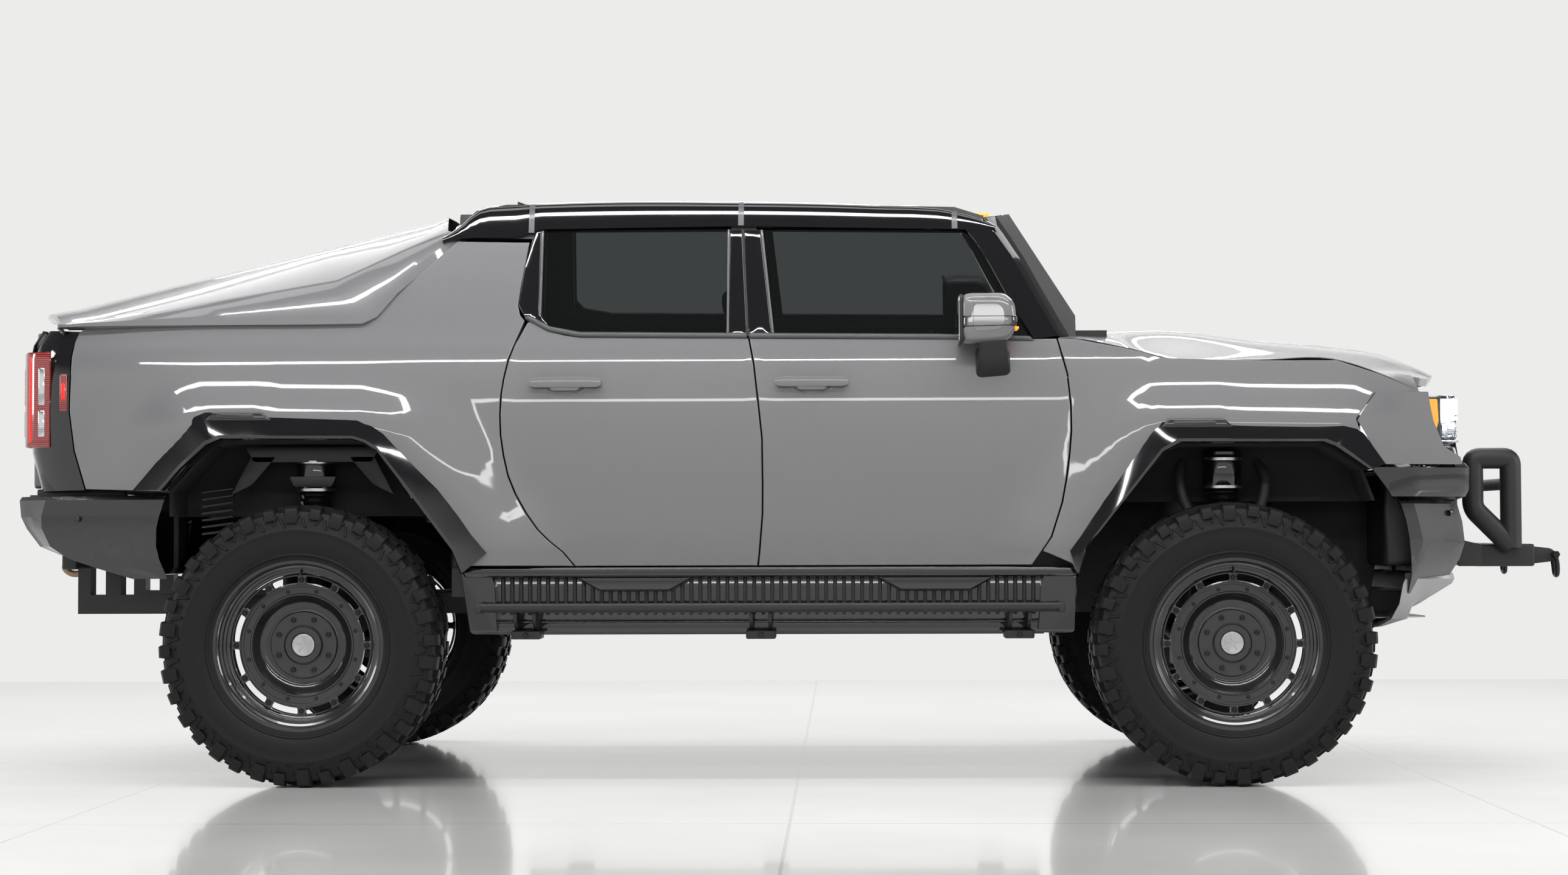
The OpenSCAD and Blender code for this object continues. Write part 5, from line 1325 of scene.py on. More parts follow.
# ---- Bull bar ----
# Bent steel tube, powder-coated black, with two hoops on a winch box, a thin inner pipe and bow
# shackles hung from welded tabs.
bar_parts = []
for s in (-1, 1):
    y = s * 0.55
    hoop = pipe("hoop", [(axle_f + 1.1470, y, 0.865), (axle_f + 1.1470, y, 1.2115),
        (axle_f + 1.0015, y, 1.2115), (axle_f + 1.0015, y, 1.018), (axle_f + 1.1470, y, 0.872)], 0.0405, 28,
        0.028)
    bar_parts.append(hoop)
    for yy in (y - s * 0.13,):
        tab = smooth_plate("tab", [(axle_f + 1.24, 0.80), (axle_f + 1.33, 0.81), (axle_f + 1.362, 0.836),
            (axle_f + 1.33, 0.862), (axle_f + 1.24, 0.872)], yy - 0.012, yy + 0.012, 0.003, 2, 0.01)
        bar_parts.append(tab)
        ring = pipe("shackle", [(axle_f + 1.342, yy - 0.028, 0.842), (axle_f + 1.350, yy - 0.030, 0.80),
            (axle_f + 1.352, yy - 0.020, 0.757), (axle_f + 1.352, yy + 0.020, 0.757),
            (axle_f + 1.350, yy + 0.030, 0.80), (axle_f + 1.342, yy + 0.028, 0.842)], 0.0095, 14, 0.022)
        pin = pipe("shackle_pin", [(axle_f + 1.342, yy - 0.044, 0.838), (axle_f + 1.342, yy + 0.046, 0.838)],
            0.011, 14)
        head = moved_mesh(hex_bolt("pin_head", 0.015, 0.01), (axle_f + 1.342, yy - 0.040, 0.838))
        bar_parts += [with_material(m, bolt_mat) for m in (ring, pin, head)]
    bar_parts.append(smooth_plate("gusset", [(axle_f + 0.93, 0.795), (axle_f + 1.02, 0.795),
        (axle_f + 1.02, 0.878), (axle_f + 0.93, 0.90)], y - 0.06, y - 0.05, 0.002, 1))
bar_parts.append(smooth_box("winch_box", (axle_f + 1.014, -0.52, 0.793), (axle_f + 1.246, 0.52, 0.880), 0.010,
    3))
for y in np.linspace(-0.46, 0.46, 9):
    put(bar_parts, bolt_mat, moved_mesh(hex_bolt("box_bolt", 0.008, 0.007, 6, 0.012),
        (axle_f + 1.2465, float(y), 0.836), turn_left))
cross = with_material(pipe("inner_pipe", [(axle_f + 1.147, -0.55, 1.113), (axle_f + 1.147, 0.55, 1.113)],
    0.023, 24), cast_mat)
bar_parts.append(cross)
for y in (-0.40, 0.40):
    bar_parts.append(smooth_box("bracket_leg", (axle_f + 0.86, y - 0.03, 0.80),
        (axle_f + 1.03, y + 0.03, 0.87), 0.006, 2))
fairlead = smooth_box("fairlead", (axle_f + 1.244, -0.15, 0.80), (axle_f + 1.262, 0.15, 0.872), 0.008, 3)
slot_face = smooth_box("fairlead_slot", (axle_f + 1.258, -0.10, 0.822), (axle_f + 1.266, 0.10, 0.850), 0.004,
    2)
bar_parts += [with_material(fairlead, cast_mat), with_material(slot_face, gloss_black)]
bar_parts = [m if m.materials else with_material(m, powder_black) for m in bar_parts]
place("bull_bar_detail", merged("bull_bar_detail", bar_parts), powder_black, "chassis", "black_metal",
    ("bull_bar",))

# ---- Glass, pillars and roof ----
# Frameless dark side glass stands between gloss-black pillar covers. Four lift-out roof panels sit
# between moulded rails, with grey straps over their joints and five amber lamps on the header.
def glass_material(name, color, transmission, rough=0.0):
    mat, tree, shader = new_material(name)
    where = add_node(tree, "ShaderNodeTexCoord")
    film = add_node(tree, "ShaderNodeTexNoise", None, Vector=where.outputs["Object"], Scale=5.0, Detail=4.0)
    dull = add_node(tree, "ShaderNodeMapRange", None, Value=film.outputs["Fac"], To_Min=rough,
        To_Max=rough + 0.03)
    tree.links.new(dull.outputs[0], shader.inputs["Roughness"])
    shader.inputs["Base Color"].default_value = (*color, 1)
    shader.inputs["Transmission Weight"].default_value = transmission
    shader.inputs["IOR"].default_value = 1.45
    return mat


tint = glass_material("privacy_glass", (0.055, 0.062, 0.062), 0.93)
clear = glass_material("windshield_glass", (0.62, 0.68, 0.66), 1.0)
bar_grey = worn_material("window_bar_grey", (0.10, 0.10, 0.105), 0.35, metallic=0.5, coat=0.3, dust=0.0,
    peel=0.02)
belt_grey = worn_material("belt_moulding", (0.045, 0.046, 0.048), 0.4, coat=0.2, dust=0.0, peel=0.1,
    peel_scale=900.0)


def side_at(lift):
    return lambda x, z: np.stack([x, -side_half(x, z) - lift, z], -1)


def set_in(points, d):
    ring = list(points)
    if area_of(ring) < 0:
        ring = ring[::-1]
    return [tuple(p) for p in inset_outline(ring, d)]


rear_glass = centre([(-862, 2080), (-137, 2082), (-135, 1660), (-700, 1664), (-822, 1694), (-862, 1712)])
front_glass = centre([(-20, 2079), (738, 2072), (803, 2016), (906, 1808), (985, 1656), (20, 1660)])
for outline, end in ((rear_glass, "rear"), (front_glass, "front")):
    pane = pressed_panel("pane", outline, side_at(-0.008), 0.09, 0.002, 0.005, 0.02)
    place_pair("side_glass_" + end, pane, tint, ("door_%s_right" % end, "door_%s_left" % end), "tinted_glass",
        (("glass_%s_right" % end,), ("glass_%s_left" % end,)))

trim_rear = [merged("trim_rear", [with_material(pressed_panel("pillar",
    centre([(-137, 2080), (-91, 2080), (-69, 1668), (-136, 1667)]), side_at(0.002), 0.06, 0.003, 0.012),
    gloss_black), with_material(pressed_panel("bar", centre([(-146, 2081), (-137, 2081), (-136, 1667),
    (-146, 1667)]), side_at(0.004), 0.06, 0.002, 0.012), bar_grey), with_material(pressed_panel("corner",
    centre([(-852, 2080), (-870, 2080), (-912, 1934), (-929, 1790), (-905, 1745), (-822, 1706), (-815, 1716),
    (-838, 1740), (-852, 1775)]), side_at(0.002), 0.06, 0.003, 0.012, 0.01), gloss_black),
    with_material(pressed_panel("bar2", centre([(-852, 2080), (-842, 2080), (-842, 1742), (-852, 1750)]),
    side_at(0.004), 0.06, 0.002, 0.012), bar_grey), with_material(pressed_panel("belt",
    centre([(-905, 1745), (-899, 1736), (-816, 1690), (-698, 1667), (-69, 1660), (-69, 1681), (-696, 1688),
    (-808, 1710), (-885, 1752)]), side_at(0.009), 0.06, 0.006, 0.016), belt_grey)])]
place_pair("window_trim_rear", trim_rear[0], gloss_black, ("door_rear_right", "door_rear_left"),
    "gloss_black")
trim_front = merged("trim_front", [with_material(pressed_panel("pillar",
    centre([(-84, 2080), (-22, 2079), (24, 1667), (-62, 1668)]), side_at(0.002), 0.06, 0.003, 0.012),
    gloss_black), with_material(pressed_panel("bar", centre([(-22, 2079), (-12, 2079), (34, 1667),
    (24, 1667)]), side_at(0.004), 0.06, 0.002, 0.012), bar_grey), with_material(pressed_panel("belt",
    centre([(-62, 1660), (652, 1653), (1000, 1646), (986, 1664), (652, 1674), (-62, 1681)]), side_at(0.009),
    0.06, 0.006, 0.016), belt_grey)])
place_pair("window_trim_front", trim_front, gloss_black, ("door_front_right", "door_front_left"),
    "gloss_black")

glass_low = np.array([axle_f - 0.530, 1.690])
glass_top = np.array([axle_f - 0.792, 2.144])


def windshield(y, s, sink=0.0):
    """A point on the windshield: how far across, and how far up from 0 to 1."""
    w = np.abs(y) / (0.80 - 0.09 * s)
    x = glass_low[0] + (glass_top[0] - glass_low[0]) * s - 0.016 * w ** 2 + 0.012 * 4 * s * (1 - s) * (1 - w
        ** 2)
    z = glass_low[1] + (glass_top[1] - glass_low[1]) * s + 0.008 * 4 * s * (1 - s)
    return np.stack([x - 0.87 * sink, y, z - 0.5 * sink], -1)


screen_line = [(-0.775, 0.0), (0.775, 0.0), (0.69, 1.0), (-0.69, 1.0)]
screen = pressed_panel("screen", screen_line, lambda y, s: windshield(y, s), 0.09, 0.003, 0.006, 0.03)
frit_hole = [(-0.735, 0.07), (0.735, 0.07), (0.655, 0.93), (0.12, 0.93), (0.10, 0.87), (-0.10, 0.87),
    (-0.12, 0.93), (-0.655, 0.93)]
frit = pressed_panel("frit", screen_line, lambda y, s: windshield(y, s, 0.0085), 0.08, 0.003, 0.004, 0.0,
    (frit_hole,))
fixed = [with_material(screen, clear), with_material(frit, satin_black)]
put(fixed, tint, smooth_box("rear_window", (axle_r + 0.53, -0.62, 1.70), (axle_r + 0.536, 0.62, 2.04), 0.002,
    1))
place("fixed_glass_detail", merged("fixed_glass_detail", fixed), clear, "chassis", "clear_glass",
    ("fixed_glass",))

ridge = [(1098, 1662), (1072, 1700), (998, 1835), (926, 1973), (868, 2060), (822, 2118)]
sill_line = [(1000, 1652), (976, 1690), (906, 1815), (836, 1952), (790, 2030), (744, 2086)]
rows = []
edge_s = np.linspace(-0.03, 1.02, len(ridge))
inner_edge = [windshield(np.array(-(0.792 - 0.088 * s)), np.array(s)) for s in edge_s]
ridge3 = [(middle + x / 1000, -float(side_half(middle + x / 1000, z / 1000)) - 0.004,
    z / 1000) for x, z in ridge]
edge3 = [(middle + x / 1000, -float(side_half(middle + x / 1000, z / 1000)) - 0.004,
    z / 1000) for x, z in sill_line]


def blend_rows(a, b, ts, bow=0.0):
    return [[tuple(np.array(p) * (1 - t) + np.array(q) * t + np.array([0.87, -0.5,
        0.1]) * bow * 4 * t * (1 - t)) for p, q in zip(a, b)] for t in ts]


pillar_rows = ([[tuple(np.array(p) - np.array([0.02, 0, 0.01])) for p in inner_edge]] + blend_rows(inner_edge,
    ridge3, (0.0, 0.05, 0.5, 0.9), 0.012) + blend_rows(ridge3, edge3,
    (0.03, 0.12, 0.55, 0.95, 1.0)) + [[(x, y + 0.02, z) for x, y, z in edge3]])
pillar_rows = [[tuple(p) for p in np.array([[np.interp(u, np.linspace(0, 1, len(r)),
    np.array(r)[:, c]) for c in range(3)] for u in np.linspace(0, 1, 16)])] for r in pillar_rows]
pillar = loft("a_pillar", pillar_rows, 0.004, angle=40)
place_pair("a_pillar_cover", pillar, gloss_black, "chassis", "gloss_black")

rail_top = np.array([(-1.235, 2.045), (-1.169, 2.092), (-1.103, 2.157), (-0.989, 2.176), (-0.890, 2.181),
    (-0.095, 2.184), (0.40, 2.170), (0.712, 2.147), (0.843, 2.102), (0.87, 2.085)]).T
roof_mid = np.array([(-1.26, 2.150), (-1.15, 2.178), (-0.95, 2.200), (-0.50, 2.219), (0.0, 2.226),
    (0.40, 2.213), (0.70, 2.178), (0.83, 2.150), (0.93, 2.120)]).T
roof_half = 0.835


def roof_surface(x, y):
    """Height of the roof; x is measured from the middle of the wheelbase."""
    edge = curve(np.clip(x, -1.235, 0.87), *rail_top)
    high = curve(np.clip(x, -1.26, 0.93), *roof_mid)
    w = np.clip(np.abs(y) / roof_half, 0, 1.1)
    shape = 0.55 * w ** 2 + 0.45 * w ** 7
    return np.stack([middle + x, y, high * (1 - shape) + edge * shape], -1)


roof_parts = []
for x0, x1 in ((-0.880, -0.103), (-0.087, 0.704)):
    for y0, y1 in ((-0.748, -0.008), (0.008, 0.748)):
        put(roof_parts, gloss_black, pressed_panel("lift_out", [(x0, y0), (x1, y0), (x1, y1), (x0, y1)],
            roof_surface, 0.07, 0.005, 0.02, 0.03))
for outline in ([(0.716, -0.80), (0.845, -0.78), (0.915, -0.66), (0.94, -0.35), (0.945, 0.0), (0.94, 0.35),
        (0.915, 0.66), (0.845, 0.78), (0.716, 0.80)], [(-1.13, -0.79), (-0.892, -0.80), (-0.892, 0.80),
        (-1.13, 0.79), (-1.22, 0.6), (-1.255, 0.0), (-1.22, -0.6)]):
    put(roof_parts, gloss_black, pressed_panel("roof_end", outline, roof_surface, 0.07, 0.005, 0.02))
for x in (-0.888, -0.095, 0.711):
    put(roof_parts, satin_black, pressed_panel("gutter", [(x - 0.008, -0.80), (x + 0.008, -0.80),
        (x + 0.008, 0.80), (x - 0.008, 0.80)], lambda a, b: roof_surface(a, b) - np.array([0, 0, 0.006]),
        0.07, 0.002, 0.01))
fin = loft("fin",
    [[(middle - 1.05 + 0.22 * u * (1 - 0.35 * s),
    side * (0.026 * (1 - s) + 0.006) * math.sin(math.pi * min(u * 1.05, 1)) ** 0.6,
    2.188 + 0.112 * s ** 0.8 * (1 - 0.5 * u)) for u, side in [(u, -1) for u in np.linspace(0, 0.95, 9)] + [(u,
    1) for u in np.linspace(0.95, 0, 9)]] for s in (0.0, 0.25, 0.5, 0.75, 0.92, 1.0)], 0.002, True, angle=50)
put(roof_parts, gloss_black, fin)
for y in (-0.62, -0.31, 0.0, 0.31, 0.62):
    base = roof_surface(np.array(0.84 - 0.04 * abs(y)), np.array(y))
    lamp = smooth_plate("marker", [(base[0] - 0.045, y - 0.055), (base[0] + 0.035, y - 0.045),
        (base[0] + 0.045, y), (base[0] + 0.035, y + 0.045), (base[0] - 0.045, y + 0.055)],
        float(base[2]) - 0.008, float(base[2]) + 0.022, 0.008, 3, 0.01, "z")
    put(roof_parts, led_amber, lamp)
place("roof_detail", merged("roof_detail", roof_parts), gloss_black, "chassis", "gloss_black",
    ("roof_panels",))

rail_rows = []
for u in np.concatenate([np.linspace(-1.225, -0.95, 9), np.linspace(-0.85, 0.65, 16),
        np.linspace(0.70, 0.865, 7)]):
    top = float(curve(u, *rail_top))
    low = max(float(np.interp(u, [-1.225, -1.138, -0.898, -0.889, -0.095, 0.712, 0.865],
        [2.036, 2.054, 2.056, 2.086, 2.095, 2.078, 2.075])), 2.03)
    low = min(low, top - 0.008)
    y_low = -float(side_half(middle + u, low)) - 0.004
    row = [(middle + u, y_low + 0.02, low - 0.001), (middle + u, y_low - 0.001, low)]
    for t in (0.15, 0.4, 0.62, 0.8, 0.93):
        z = low + (top - low) * t
        row.append((middle + u, -float(side_half(middle + u, z)) - 0.004 + 0.012 * t ** 6, z))
    for y in (-roof_half + 0.0, -roof_half + 0.03, -0.78, -0.752):
        p = roof_surface(np.array(u), np.array(y))
        row.append((p[0], y, float(p[2]) + 0.001))
    rail_rows.append(row)
rail_parts = [with_material(loft("rail", rail_rows, 0.004, angle=40), gloss_black)]
for u in (-0.889, -0.095, 0.712):
    rows = []
    for du, lift in ((-0.011, -0.002), (-0.009, 0.003), (0.009, 0.003), (0.011, -0.002)):
        i = int(np.argmin([abs(r[0][0] - middle - u) for r in rail_rows]))
        low = float(np.interp(u, [-0.898, -0.889, -0.095, 0.712], [2.056, 2.070, 2.095, 2.078]))
        top = float(curve(u, *rail_top))
        row = []
        for t in (0.0, 0.2, 0.45, 0.7, 0.88, 0.97):
            z = low + (top - low) * t
            row.append((middle + u + du, -float(side_half(middle + u, z)) - 0.005 - lift + 0.012 * t ** 6, z))
        for y in (-roof_half, -roof_half + 0.03, -0.78, -0.75):
            p = roof_surface(np.array(u), np.array(y))
            row.append((middle + u + du, y, float(p[2]) + 0.002 + lift))
        rows.append(row)
    put(rail_parts, bar_grey, loft("strap", rows, 0.002, angle=50))
place_pair("roof_rail", merged("roof_rail", rail_parts), gloss_black, "chassis", "gloss_black")

# ---- Bed cover ----
# A moulded fastback lid in body colour, hinged behind the roof. A crease on each side splits it into
# a broad back and a steep flank, and its rear edge kicks up into a small lip.
cover_line = {"seam": [(-2662, -0.990, 1715), (-2500, -0.999, 1717), (-2100, -1.000, 1719),
    (-1700, -1.000, 1720), (-1512, -0.998, 1722), (-1462, -0.985, 1747), (-1389, -0.957, 1838),
    (-1262, -0.905, 1953), (-1145, -0.855, 2060)], "crease": [(-2655, -0.962, 1722), (-2480, -0.955, 1742),
    (-2080, -0.945, 1806), (-1750, -0.932, 1860), (-1620, -0.925, 1881), (-1500, -0.902, 1940),
    (-1380, -0.880, 2000), (-1290, -0.862, 2043), (-1212, -0.845, 2079)],
    "back": [(-2806, -0.60, 1786), (-2700, -0.60, 1805), (-2250, -0.60, 1911), (-1850, -0.60, 2005),
    (-1688, -0.60, 2042), (-1500, -0.60, 2088), (-1380, -0.60, 2117), (-1289, -0.60, 2138),
    (-1244, -0.60, 2160)], "spine": [(-2812, 0, 1792), (-2703, 0, 1812), (-2250, 0, 1922), (-1850, 0, 2018),
    (-1688, 0, 2056), (-1500, 0, 2102), (-1380, 0, 2131), (-1290, 0, 2152), (-1246, 0, 2170)]}


def cover_curve(key, u):
    p = np.array(cover_line[key], float)
    at = np.linspace(0, 1, len(p))
    return np.array([middle + np.interp(u, at, p[:, 0]) / 1000, np.interp(u, at, p[:, 1]),
        np.interp(u, at, p[:, 2]) / 1000 + 0.002])


cover_rows = []
for u in np.linspace(0, 1, 49):
    a, b, c, d = (cover_curve(k, u) for k in ("seam", "crease", "back", "spine"))
    half = [a + (b - a) * t + np.array([0, -0.012, 0]) * 4 * t * (1 - t) for t in (0, 0.33, 0.66, 0.94)]
    half += [b + np.array([0, 0.001, -0.0005])]
    half += [b + (c - b) * t + np.array([0, 0, 0.016]) * 4 * t * (1 - t) for t in (0.03, 0.25, 0.5, 0.75,
        1.0)]
    half += [c + (d - c) * t + np.array([0, 0, 0.006]) * 4 * t * (1 - t) for t in (0.33, 0.66)]
    row = [tuple(half[0] + np.array([0, 0.03, -0.004]))] + [tuple(p) for p in half] + [tuple(d)]
    cover_rows.append(row + [(x, -y, z) for x, y, z in row[-2::-1]])
first = [tuple(np.array(p) + np.array([0.012, 0, -0.028])) for p in cover_rows[0]]
kick = [tuple(np.array(p) + np.array([-0.004, 0, -0.010])) for p in cover_rows[0]]
cover = loft("cover", [first, kick] + cover_rows, 0.006, angle=19)
cover_parts = [with_material(cover, paint)]
for y in (-0.45, 0.0, 0.45):
    low = [(middle - 2.70, 1.70 + 0.05), (middle - 2.25, 1.87), (middle - 1.50, 2.05), (middle - 1.50, 2.02),
        (middle - 2.25, 1.83), (middle - 2.68, 1.72)]
    put(cover_parts, satin_black, smooth_plate("cover_rib", low, y - 0.03, y + 0.03, 0.004, 2))
seal = pipe("cover_seal", [(middle - 2.64, -0.93, 1.714), (middle - 1.55, -0.93, 1.714)], 0.008, 8)
cover_parts += [with_material(seal, satin_black), with_material(moved_mesh(seal, (0, 1.86, 0)), satin_black)]
place("bed_cover_detail", merged("bed_cover_detail", cover_parts), paint, "bed_cover", "body_paint",
    ("bed_cover",))

# ---- Tail ----
# Upright red lamps stand in gloss-black corner covers. The tailgate is a painted pressing with a
# recessed black band, and the bumper is a dark faceted moulding round the tow receiver.
red_mat, tree, shader = new_material("lamp_red_cover")
where = add_node(tree, "ShaderNodeTexCoord")
lines = add_node(tree, "ShaderNodeTexWave", {"bands_direction": "Z"}, Vector=where.outputs["Object"],
    Scale=40.0)
deep = add_node(tree, "ShaderNodeMix", {"data_type": "RGBA"}, Factor=lines.outputs["Fac"],
    A=(0.10, 0.005, 0.005, 1), B=(0.30, 0.055, 0.05, 1))
tree.links.new(deep.outputs[2], shader.inputs["Base Color"])
glow = add_node(tree, "ShaderNodeMix", {"data_type": "RGBA"}, Factor=lines.outputs["Fac"],
    A=(0.5, 0.01, 0.01, 1), B=(0.9, 0.03, 0.02, 1))
tree.links.new(glow.outputs[2], shader.inputs["Emission Color"])
shader.inputs["Emission Strength"].default_value = 0.06
shader.inputs["Roughness"].default_value = 0.08
shader.inputs["Coat Weight"].default_value = 1.0

edge_a = [(-2571, 1696), (-2600, 1656), (-2608, 1597), (-2609, 1500), (-2609, 1392), (-2589, 1246),
    (-2543, 1099)]
edge_b = [(-2724, 1706), (-2760, 1650), (-2771, 1600), (-2776, 1500), (-2774, 1392), (-2766, 1240),
    (-2726, 1096)]
rows = []
for (xa, za), (xb, zb) in zip(edge_a, edge_b):
    xa, xb, za, zb = middle + xa / 1000 - 0.004, middle + xb / 1000, za / 1000, zb / 1000
    ya = -float(side_half(xa, za)) + 0.001
    row = [(xa + 0.002, ya + 0.02, za), (xa, ya, za)]
    row += [(xa + (xb - xa) * t, ya + 0.075 * t ** 2, za + (zb - za) * t) for t in (0.2, 0.4, 0.6, 0.8, 0.94)]
    row += [(xb - 0.008, ya + 0.098, zb), (xb - 0.018, ya + 0.125, zb), (xb - 0.022, -0.885, zb)]
    rows.append(row)
tail_parts = [with_material(loft("corner_cover", rows, 0.004, angle=40), gloss_black),
    with_material(smooth_box("corner_filler", (middle - 2.755, -0.935, 1.062), (middle - 2.42, -0.886, 1.104),
    0.005, 2), satin_black)]
lens_rows = []
for z in np.concatenate([[1.262, 1.268], np.linspace(1.29, 1.59, 9), [1.612, 1.618]]):
    swell = 0.010 if 1.265 < z < 1.615 else 0.0
    lens_rows.append([(middle - 2.690, -0.992 - 0.2 * swell, z), (middle - 2.692,
        -1.002 - 0.3 * swell + 0.004, z), (middle - 2.74, -0.992 - swell * 0.6, z),
        (middle - 2.776, -0.968 - swell * 0.5, z), (middle - 2.792 - swell * 0.3, -0.945, z),
        (middle - 2.797 - swell * 0.4, -0.905, z), (middle - 2.795, -0.845, z), (middle - 2.78, -0.838, z)])
put(tail_parts, red_mat, loft("tail_lens", lens_rows, 0.003, angle=40))
for z0, z1 in ((1.30, 1.40), (1.42, 1.56)):
    put(tail_parts, lens_mat, smooth_box("clear_block", (middle - 2.808, -0.925, z0),
        (middle - 2.795, -0.865, z1), 0.004, 2))
    put(tail_parts, chrome, smooth_box("clear_side", (middle - 2.733, -1.004, z0),
        (middle - 2.708, -0.992, z1), 0.004, 2))
put(tail_parts, led_red, smooth_box("guide", (middle - 2.770, -0.988, 1.28), (middle - 2.760, -0.978, 1.60),
    0.003, 2))
put(tail_parts, red_mat, smooth_box("side_marker", (middle - 2.648, -1.020, 1.395),
    (middle - 2.620, -1.008, 1.535), 0.006, 3))
put(tail_parts, led_red, smooth_box("side_glow", (middle - 2.641, -1.0225, 1.44),
    (middle - 2.627, -1.016, 1.50), 0.003, 2))
place_pair("tail_lamp", merged("tail_lamp", tail_parts), red_mat, "chassis", "lamp_red",
    (("tail_lamps",), ()))

gate_low, gate_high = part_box("tailgate")


def gate_surface(y, z):
    x = gate_low[0] - 0.004 + 0.02 * np.abs(y / 0.88) ** 3 + 0.010 * smooth_step((z - 1.58) / 0.1)
    x = x + 0.010 * smooth_step((0.10 - np.abs(z - 1.42)) / 0.02) * smooth_step((0.80 - np.abs(y)) / 0.03)
    return np.stack([x, -y, z], -1)


gate_line = [(-0.876, 1.108), (0.876, 1.108), (0.876, 1.700), (-0.876, 1.700)]
gate = [with_material(pressed_panel("gate_skin", gate_line, gate_surface, 0.035, 0.006, 0.055, 0.02), paint),
    with_material(pressed_panel("gate_band", [(-0.775, 1.345), (0.775, 1.345), (0.775, 1.495),
    (-0.775, 1.495)], lambda y, z: gate_surface(y, z) - np.array([0.003, 0, 0]), 0.05, 0.003, 0.006, 0.02),
    gloss_black), with_material(smooth_box("gate_lining", (gate_low[0] + 0.03, -0.865, 1.112),
    (gate_high[0], 0.865, 1.700), 0.008, 2), satin_black)]
put(gate, satin_black, smooth_box("gate_pull", (gate_low[0] - 0.012, -0.17, 1.588),
    (gate_low[0] + 0.006, 0.17, 1.616), 0.006, 2))
put(gate, gloss_black, moved_mesh(spin_mesh("camera_eye", [(0.0005, 0), (0.012, 0), (0.012, 0.004),
    (0.008, 0.007), (0.0005, 0.006)], 20), (gate_low[0] - 0.004, 0, 1.55), turn_left))
light = smooth_box("gate_lamp", (gate_low[0] - 0.002, -0.70, 1.408), (gate_low[0] + 0.004, 0.70, 1.420),
    0.002, 2)
put(gate, led_red, light)
for k in range(9):
    put(gate, powder_black, smooth_box("gate_rib", (gate_high[0] - 0.006, -0.80 + k * 0.19, 1.16),
        (gate_high[0] + 0.0, -0.68 + k * 0.19, 1.66), 0.003, 1))
place("tailgate_detail", merged("tailgate_detail", gate), paint, "tailgate", "body_paint", ("tailgate",))


def to_rear(rows):
    return [[(axle_r - (x - axle_f), y, z) for x, y, z in r] for r in rows]


rear_shell = to_rear(bumper_rows([(1.080, 0.530, 0.99, 0.90, 0.84, 1.04, 1.06),
    (1.076, 0.524, 1.035, 0.95, 0.90, 1.10, 1.125), (1.062, 0.521, 1.050, 0.97, 0.93, 1.10, 1.148),
    (1.000, 0.540, 1.052, 0.985, 0.93, 1.094, 1.149), (0.955, 0.552, 1.046, 0.985, 0.92, 1.075, 1.125),
    (0.888, 0.555, 1.036, 0.955, 0.90, 1.03, 1.08), (0.842, 0.548, 1.020, 0.89, 0.86, 0.93, 1.00),
    (0.802, 0.536, 1.00, 0.775, 0.80, 0.82, 0.90), (0.766, 0.526, 0.98, 0.66, 0.74, 0.70, 0.78)]))
back_parts = [with_material(loft("rear_shell", rear_shell, 0.004, angle=20), lower_grey)]
x_back = axle_r - 1.149
put(back_parts, gloss_black, smooth_box("plate_recess", (x_back - 0.002, -0.19, 0.985),
    (x_back + 0.02, 0.19, 1.062), 0.006, 2))
put(back_parts, bright_mat, smooth_box("blank_plate", (x_back - 0.008, -0.153, 0.905),
    (x_back - 0.003, 0.153, 1.055), 0.003, 2))
for y in (-0.13, 0.13):
    put(back_parts, bolt_mat, moved_mesh(hex_bolt("plate_screw", 0.006, 0.004, 6, 0.009),
        (x_back - 0.008, y, 1.04), turn_right))
bronze = worn_material("hook_bronze", (0.28, 0.19, 0.11), 0.35, metallic=0.9, dust=0.1, peel=0.1)
for s in (-1, 1):
    pad = smooth_plate("step_pad", [(axle_r - 1.03, s * 0.50), (axle_r - 1.125, s * 0.50),
        (axle_r - 1.09, s * 0.84), (axle_r - 1.02, s * 0.84)], 1.074, 1.084, 0.004, 2, 0.01, "z")
    put(back_parts, satin_black, pad)
    hook = pipe("rear_hook", [(axle_r - 0.96, s * 0.40, 0.85), (axle_r - 1.06, s * 0.40, 0.84),
        (axle_r - 1.085, s * 0.40, 0.80), (axle_r - 1.05, s * 0.40, 0.775), (axle_r - 0.98, s * 0.40, 0.785)],
        0.013, 12, 0.03)
    put(back_parts, bronze, hook)
    for y, x in ((0.92, 1.070), (0.55, 1.120)):
        dot = moved_mesh(spin_mesh("sensor", [(0.0005, 0), (0.012, 0), (0.013, 0.003), (0.010, 0.008),
            (0.0005, 0.0085)], 20), (axle_r - x, s * y, 0.975), turn_left)
        put(back_parts, gloss_black, dot)
side_dot = moved_mesh(spin_mesh("side_sensor", [(0.0005, 0), (0.011, 0), (0.012, 0.003), (0.009, 0.007),
    (0.0005, 0.0075)], 20), (axle_r - 0.845, -1.053, 0.99), Matrix.Rotation(math.pi, 3, "Z"))
put(back_parts, gloss_black, side_dot)
tube_rows = [[(axle_r - x, y, 0.96 + z) for y, z in round_corners([(-h, -h), (h, -h), (h, h), (-h, h)],
    0.008)] for x, h in ((0.96, 0.038), (1.120, 0.038), (1.124, 0.036), (1.124, 0.0275), (1.120, 0.0255),
    (0.99, 0.0255))]
put(back_parts, powder_black, loft("receiver", tube_rows, 0.001, True, angle=40))
beam = smooth_box("beam", (axle_r - 0.96, -0.86, 0.80), (axle_r - 0.90, 0.86, 1.04), 0.01, 2)
put(back_parts, powder_black, beam)
place("rear_bumper_detail", merged("rear_bumper_detail", back_parts), lower_grey, "chassis", "satin_black",
    ("rear_bumper",))

